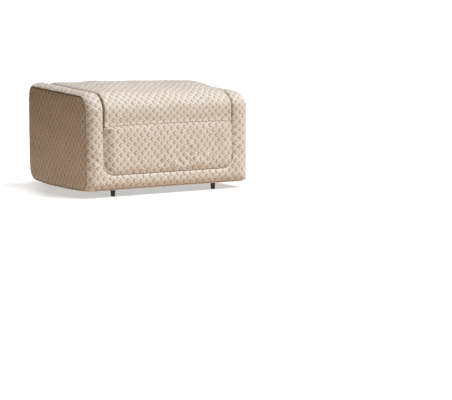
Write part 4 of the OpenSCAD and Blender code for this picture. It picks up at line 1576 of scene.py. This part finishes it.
@dataclass
class SeatCushion:
    """The cushion over the top, with its flap down the front.

    Places across run from -1 to 1, and places along from 0 at the front of the flat top to 1
    at its back.
    """

    front_r: float = 0.099
    back_r: float = 0.124
    own_crown: float = 0.014
    crown: float = 0.024
    left_fade: Triple = (0.9, 0.55, 1.0)
    right_fade: Triple = (0.35, 0.92, 1.0)
    shoulder: float = 0.007
    shoulder_at: Span = (0.62, 0.15)
    shoulder_span: Span = (0.24, 0.28)
    outline_r: float = 0.010
    hem_edge: Span = (0.001, 0.012)
    hem_r: float = 0.004
    end_r: float = 0.012
    end_run: float = 0.03
    side_rows: Sequence[float] = (0.35, 0.55, 0.8)
    under_edge: Sequence[Span] = ((0.004, 0.001), (0.0, 0.006))
    hem_back: float = 0.0048
    hem_run: float = 0.06
    corner_r: float = 0.012
    corner_cells: int = 6
    clear: float = 0.0006
    over_bed: float = 0.0005
    back_gap: Span = (0.002, 0.006)
    arch: HemArch = HemArch()
    arch_run: Span = (0.004, 0.10)
    arch_deep: Span = (0.010, 0.6)
    rake: Rake = Rake()
    soft: float = 0.0018
    relief: Ripple = Ripple(41, 0.16)
    power: float = 8.0
    gather: float = 0.0010
    gathers: Ripple = Ripple(42, 0.040)
    gather_run: float = 0.018
    stuffing: Stuffing = Stuffing(cap=0.0030, slack=0.01)
    profile_cells: int = 400
    cell: float = 0.012

    def __post_init__(self) -> None:
        """Reads the cushion's places from its solid and its neighbours."""
        self.low, self.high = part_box("seat_cushion")
        self.top_z = self.high.z - self.own_crown
        self.under_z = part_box("foot_mattress")[1].z + self.over_bed
        self.thick = self.top_z - self.under_z

    def profile(self) -> tuple[Bend, Span]:
        """The side profile: hem, front corner, flat top and back corner, and what lies inside.

        The inner line's corner is matched to the middle of the outer line's front arc.

        Returns:
            The bend, and the shares of its length where the flat top starts and ends.
        """
        low, top_z, under_z = self.low, self.top_z, self.under_z
        arm_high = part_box("right_arm_pad")[1]
        back_z = top_z - self.back_r
        back_y = arm_high.y + (top_z - arm_high.z) - self.back_r
        back_deg = math.degrees(math.asin((under_z + self.back_gap[1] - back_z) / self.back_r))
        tip, up = self.hem_edge
        hem = np.array([[low.y + tip, low.z + tip], [low.y, low.z + up]])
        outer = np.concatenate([
            hem, arc((low.y + self.front_r, top_z - self.front_r), self.front_r, 180.0, 90.0),
            arc((back_y, back_z), self.back_r, 90.0, back_deg)])
        flap_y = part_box("foot_end_caps")[0].y - self.clear
        r = self.corner_r
        inner = np.concatenate([np.array([[flap_y, low.z + tip]]),
                                arc((flap_y + r, under_z - r), r, 180.0, 90.0, self.corner_cells),
                                np.array([[outer[-1, 0] - self.back_gap[0], under_z]])])
        at = arc_lengths(outer)
        front_end = len(hem) + ARC_CELLS
        split = round(self.profile_cells * at[len(hem) + ARC_CELLS // 2] / at[-1])
        corner = 1 + self.corner_cells // 2
        matched = np.concatenate([resample(inner[:corner + 1], split),
                                  resample(inner[corner:], self.profile_cells - split)[1:]])
        bend = Bend(resample(outer, self.profile_cells), matched, self.thick)
        return bend, (at[front_end] / bend.length, at[front_end + 1] / bend.length)

    def build(self, wardrobe: Wardrobe) -> None:
        """Builds the cushion on its bent profile, swells it and dresses it.

        Args:
            wardrobe: the finishes.
        """
        low, high, thick = self.low, self.high, self.thick
        bend, (top_from, top_to) = self.profile()
        cells = (round((high.x - low.x) / self.cell), round(bend.length / self.cell))
        outline = RoundedFrame((low.x, 0.0), (high.x, bend.length), (self.outline_r,) * 4, cells)
        b = outline.ring()[:, 1]
        turn_r = self.hem_r + (self.end_r - self.hem_r) * smooth_step(b, 0.0, self.end_run)
        rim = [(turn_r * d + self.drawn_in(b), turn_r * e) for d, e in quarter(1.0)]
        rim += [(thick * t, 0.0) for t in self.side_rows]
        rim += [(thick - d, e) for d, e in self.under_edge]

        def stand_out(grid: Array) -> Array:
            """The crown over the flat top, less at the sides, plus the shoulder.

            Args:
                grid: the face's points.

            Returns:
                How far each of them stands out.
            """
            across = 2 * (grid[..., 0] - low.x) / (high.x - low.x) - 1
            along = (grid[..., 1] / bend.length - top_from) / (top_to - top_from)
            (u, v), (wide, long) = self.shoulder_at, self.shoulder_span
            hump = self.shoulder * np.exp(-((across - u) / wide) ** 2 - ((along - v) / long) ** 2)
            ends = (self.left_fade[0] * smooth_step(-across, *self.left_fade[1:])
                    + self.right_fade[0] * smooth_step(across, *self.right_fade[1:]))
            rise = self.crown * (1 - ends) * np.sin(np.pi * np.clip(along, 0.0, 1.0))
            return rise + hump + (grid[..., 2] - self.drawn_in(grid[..., 1]))

        shell = PadForm(outline, rim, stand_out).build()
        p = shell.points
        run = p[shell.face[1:-1, 1:-1], 1]
        shell.wave(shell.face, self.soft, self.relief, self.power)
        shell.wave(shell.face, self.gather * np.exp(-run / self.gather_run), self.gathers)
        near = fade_out(p[:, 2], self.arch_deep[0], self.arch_deep[1] * thick)
        near *= fade_out(p[:, 1], *self.arch_run)
        p[:, 1] += self.arch.at(p[:, 0]) * near
        piece = shell.to_object("seat_cushion_cover", lambda q: self.rake.lift(bend.place(q)))
        hem = shell.rings[:, b < self.hem_edge[0]]
        self.stuffing.swell(piece, shell.rings[-3:], hem, shell.back)
        finish_pad(piece, "seat", "seat_cushion", wardrobe, "cover")

    def drawn_in(self, b: Array) -> Array:
        """How far the flap's face lies back near its hem, by the length up from it."""
        return self.hem_back * fade_out(b, 0.0, self.hem_run)


@dataclass
class BackPanel:
    """The plain padded back, round its lower corner and up to the cushion."""

    low_deg: float = 40.0
    low_r: float = 0.114
    top_r: float = 0.124
    corner_r: float = 0.008
    edge_r: float = 0.006
    side_row: float = 0.6
    board_t: float = 0.0102
    pocket: float = 0.0075
    clear: float = 0.0003
    top_gap: float = 0.002
    soft: float = 0.0008
    relief: Ripple = Ripple(51, 0.15)
    rake: Rake = Rake()
    profile_cells: int = 300
    cell: float = 0.014

    def build(self, wardrobe: Wardrobe) -> None:
        """Builds the panel on its bent profile and dresses it.

        Args:
            wardrobe: the finishes.
        """
        low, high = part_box("back_pad")
        arm_low, arm_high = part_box("right_arm_pad")
        proud, top_z = high.y - arm_high.y, high.z - self.top_gap
        low_y, low_z = high.y - self.low_r, arm_low.z + self.low_r - proud
        top_y, turn_z = high.y - self.top_r, arm_high.z + proud - self.top_r
        top_deg = math.degrees(math.asin((top_z - turn_z) / self.top_r))
        outer = np.concatenate([arc((low_y, low_z), self.low_r, -self.low_deg, 0.0),
                                arc((top_y, turn_z), self.top_r, 0.0, top_deg)])
        inner_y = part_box("back_board")[0].y
        inner = np.concatenate([arc((low_y, low_z), inner_y - low_y, -self.low_deg, 0.0),
                                np.array([[inner_y, top_z]])])
        thick = high.y - inner_y
        bend = Bend(*(resample(line, self.profile_cells) for line in (outer, inner)), thick)
        cells = (round((high.x - low.x) / self.cell), round(bend.length / self.cell))
        outline = RoundedFrame((low.x, 0.0), (high.x, bend.length), (self.corner_r,) * 4, cells)
        end = thick - self.clear
        rim = [tuple(row) for row in quarter(self.edge_r, 3)]
        rim += [(thick * self.side_row, 0.0), (end, 0.0), (end, self.pocket),
                (end - self.board_t, self.pocket)]
        shell = PadForm(outline, rim, pillow(0.0)).build()
        shell.wave(shell.face, self.soft, self.relief)
        piece = shell.to_object("back_cover", lambda q: self.rake.lift(bend.place(q)))
        finish_pad(piece, "base", "back_pad", wardrobe, "cover")


@dataclass
class MattressSection:
    """One of the three sections: crowned tufted faces, drawn-in sides and a taped edge."""

    name: str
    seed: int
    corner_r: float = 0.020
    edge_r: float = 0.018
    crown: float = 0.005
    power: float = 5.0
    crown_at_tufts: float = 0.9
    side_rows: Sequence[float] = (0.4, 0.5, 0.6)
    side_draw: float = 0.004
    edge_draw: float = 0.4
    soft: float = 0.0008
    soft_wave: float = 0.09
    tuft_depth: float = 0.010
    tuft_run: float = 0.022
    tufts: tuple[int, int] = (4, 3)
    tape_r: float = 0.0035
    button: Sequence[Span] = ((0.0, -0.0015), (0.0090, -0.0015), (0.0090, 0.0006),
                              (0.0065, 0.0020), (0.0025, 0.0026), (0.0, 0.0028))
    button_sides: int = 12
    cell: float = 0.014

    def __post_init__(self) -> None:
        """Names the section's body and reads its places from its solid."""
        self.body = f"{self.name}_section"
        self.low, self.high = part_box(f"{self.name}_mattress")
        self.size = self.high - self.low

    def build(self, wardrobe: Wardrobe) -> None:
        """Builds the section with its tufts and its edge tapes, and dresses it.

        Args:
            wardrobe: the finishes.
        """
        low, high, thick = self.low, self.high, self.size.z
        cells = (round(self.size.x / self.cell), round(self.size.y / self.cell))
        outline = RoundedFrame((low.x, low.y), (high.x, high.y), (self.corner_r,) * 4, cells)
        draw = self.draw_in(outline.ring())
        edge = [(self.crown + d, e + draw * self.edge_draw) for d, e in quarter(self.edge_r)]
        rim = edge + [(thick * t, draw) for t in self.side_rows]
        rim += [(thick - d, e) for d, e in edge[::-1]]

        def stand_out(grid: Array) -> Array:
            """The crown, less the tufts' dimples."""
            return pillow(self.crown, self.power)(grid) - self.tuft_dip(grid)

        shell = PadForm(outline, rim, stand_out, stand_out).build()
        for grid in (shell.face, shell.back):
            shell.wave(grid, self.soft, Ripple(self.seed, self.soft_wave))
        piece = shell.to_object(f"{self.name}_mattress_cover", self.place)
        finish_pad(piece, self.body, f"{self.name}_mattress", wardrobe, "ticking")
        row = len(edge) // 2
        for label, ring in (("upper", shell.rings[row]), ("lower", shell.rings[-1 - row])):
            tape = tube(f"{self.name}_{label}_tape", self.place(shell.points[ring]),
                        self.tape_r, closed=True)
            finish_trim(tape, self.body, wardrobe, "ticking")
        finish_trim(self.buttons(), self.body, wardrobe, "ticking")

    def place(self, q: Array) -> Array:
        """Maps flat points to the ottoman's space, with the depth down from the top."""
        return np.stack([q[:, 0], q[:, 1], self.high.z - q[:, 2]], -1)

    def draw_in(self, ring: Array) -> Array:
        """How far the sides pull in: most in the middle of each, and nothing at its corners.

        Args:
            ring: the outline.

        Returns:
            Insets.
        """
        u, v = (2 * (ring[:, k] - self.low[k]) / self.size[k] - 1 for k in range(2))
        return self.side_draw * (1 - np.minimum(np.abs(u), np.abs(v)) ** 4)

    def tuft_places(self) -> Array:
        """The tufts' places: an even grid, half a pitch in from the sides.

        Returns:
            Points in X and Y, (tufts, 2).
        """
        x, y = (self.low[k] + self.size[k] * (np.arange(n) + 0.5) / n
                for k, n in enumerate(self.tufts))
        return np.stack(np.meshgrid(x, y), -1).reshape(-1, 2)

    def tuft_dip(self, grid: Array) -> Array:
        """Depth of the dimples: the tuft depth times exp(-distance / run) at each tuft."""
        away = np.linalg.norm(grid[..., None, :2] - self.tuft_places(), axis=-1)
        return self.tuft_depth * np.exp(-away / self.tuft_run).sum(-1)

    def buttons(self) -> bpy.types.Object:
        """Makes a small domed button in each dimple, on both faces, as one piece.

        Returns:
            The piece.
        """
        turn = np.linspace(0.0, 2 * np.pi, self.button_sides, endpoint=False)
        domed = np.stack([np.stack([r * np.cos(turn), r * np.sin(turn), np.full_like(turn, h)], -1)
                          for r, h in self.button]).reshape(-1, 3)
        index = np.arange(len(domed)).reshape(-1, self.button_sides)
        quads = cell_corners(closed_round(index))[:, [0, 3, 2, 1]]
        inside = self.crown + self.tuft_depth - self.crown * self.crown_at_tufts
        points, faces = [], []
        for x, y in self.tuft_places():
            for sign, z in ((1, self.high.z - inside), (-1, self.low.z + inside)):
                faces.append(quads[:, ::sign] + len(points) * len(domed))
                points.append(domed * [1, 1, sign] + [x, y, z])
        points, faces = np.concatenate(points), np.concatenate(faces)
        return mesh_object(f"{self.name}_buttons", points, faces, points[faces][..., :2])


@dataclass(frozen=True)
class Studio:
    """A sheet of pale paper, one broad lamp from the right, and the camera.

    The paper's edge lies left of the picture, at the line where edge_x * x + edge_y * y +
    edge_level is 0. Past it the floor is dark and warm, which keeps the left side in shade.
    """

    camera_at: Triple = (-4.8494, -8.5453, 1.1669)
    look_at: Triple = (0.3620, -0.3370, -0.0597)
    lens: float = 143.36
    key_from: Triple = (0.52, -0.82, 1.50)
    key_strength: float = 5.95
    key_angle: float = 30.0
    key_tone: Tone = (0.79, 1.0, 1.27)
    sky: float = 0.15
    sky_tone: Tone = (1.0, 0.60, 0.25)
    reach: float = 150.0
    paper: tuple[Tone, Tone] = ((0.410, 0.325, 0.255), (0.430, 0.343, 0.271))
    beyond: Tone = (0.18, 0.12, 0.07)
    paper_edge: Triple = (-0.905, 0.426, -0.77)
    paper_fade: float = 0.55
    patch_scale: float = 0.8
    # The paper's glow is painted light: weaker over most of the paper, stronger in a strip along
    # its edge.
    glow_tone: Tone = (0.965, 0.99, 1.0)
    glow: Span = (0.52, 0.82)
    glow_span: Span = (-0.30, -0.12)

    def build(self) -> None:
        """Makes the floor, the lights and the camera, with plain display colours."""
        bpy.context.scene.view_settings.view_transform = "Standard"
        self.make_floor()
        self.make_lights()
        self.make_camera()

    def make_floor(self) -> None:
        """A large floor: glowing paper, brighter at its edge, then dark."""
        r = self.reach
        mesh = bpy.data.meshes.new("floor")
        mesh.from_pydata([(-r, -r, 0), (r, -r, 0), (r, r, 0), (-r, r, 0)], [], [(0, 1, 2, 3)])
        floor = add_object("floor", mesh)
        g = Graph("pale floor")
        place = g.object_place()
        x, y, _ = g.split(place)
        edge_x, edge_y, edge_level = self.paper_edge
        past = g.plus(g.times(x, edge_x), g.times(y, edge_y), edge_level)
        paper = g.steps(past, 0.0, self.paper_fade, (1.0, 0.0))
        tone = g.blend(g.noise(place, self.patch_scale, 3.0), *self.paper)
        # Painted light: the paper glows by itself, lighting the ottoman from below and paling its
        # cast shadows, most near the paper's edge.
        glow = g.times(g.steps(past, *self.glow_span, self.glow), paper)
        g.surface(Base_Color=g.blend(paper, self.beyond, tone), Roughness=0.9,
                  Specular_IOR_Level=0.1, Emission_Color=self.glow_tone, Emission_Strength=glow)
        mesh.materials.append(g.material)

    def make_lights(self) -> None:
        """A broad cool sun from the front right, and a faint warm sky."""
        lamp = bpy.data.lights.new("key", "SUN")
        lamp.energy = self.key_strength
        lamp.angle = math.radians(self.key_angle)
        lamp.color = self.key_tone
        self.turn(add_object("key", lamp), Vector(self.key_from), "Z")
        world = bpy.data.worlds.new("studio sky")
        world.use_nodes = True
        sky = world.node_tree.nodes["Background"]
        sky.inputs["Color"].default_value = (*self.sky_tone, 1.0)
        sky.inputs["Strength"].default_value = self.sky
        bpy.context.scene.world = world

    def make_camera(self) -> None:
        """The camera, looking at its mark."""
        data = bpy.data.cameras.new("camera")
        data.lens = self.lens
        data.sensor_width = 36.0
        data.clip_end = 500.0
        camera = add_object("camera", data)
        camera.location = self.camera_at
        self.turn(camera, Vector(self.look_at) - Vector(self.camera_at), "-Z")
        bpy.context.scene.camera = camera

    def turn(self, piece: bpy.types.Object, way: Vector, axis: str) -> None:
        """Turns an object so that an axis of it points a way, with its Y up."""
        piece.rotation_mode = "QUATERNION"
        piece.rotation_quaternion = way.to_track_quat(axis, "Y")


def main() -> None:
    """Builds the ottoman's looks in order, from the frame outwards."""
    logging.basicConfig(level=logging.INFO, format="%(name)s: %(message)s")
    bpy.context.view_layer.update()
    Studio().build()
    wardrobe = Wardrobe()
    wardrobe.dress_nodes()
    sections = [MattressSection(name, 60 + k) for k, name in enumerate(("head", "middle", "foot"))]
    for part in (Arm(Side.LEFT), Arm(Side.RIGHT), Apron(), FrontPanel(), SeatCushion(),
                 BackPanel(), *sections):
        LOG.info("building %s", type(part).__name__)
        part.build(wardrobe)


if __name__ == "__main__":
    main()
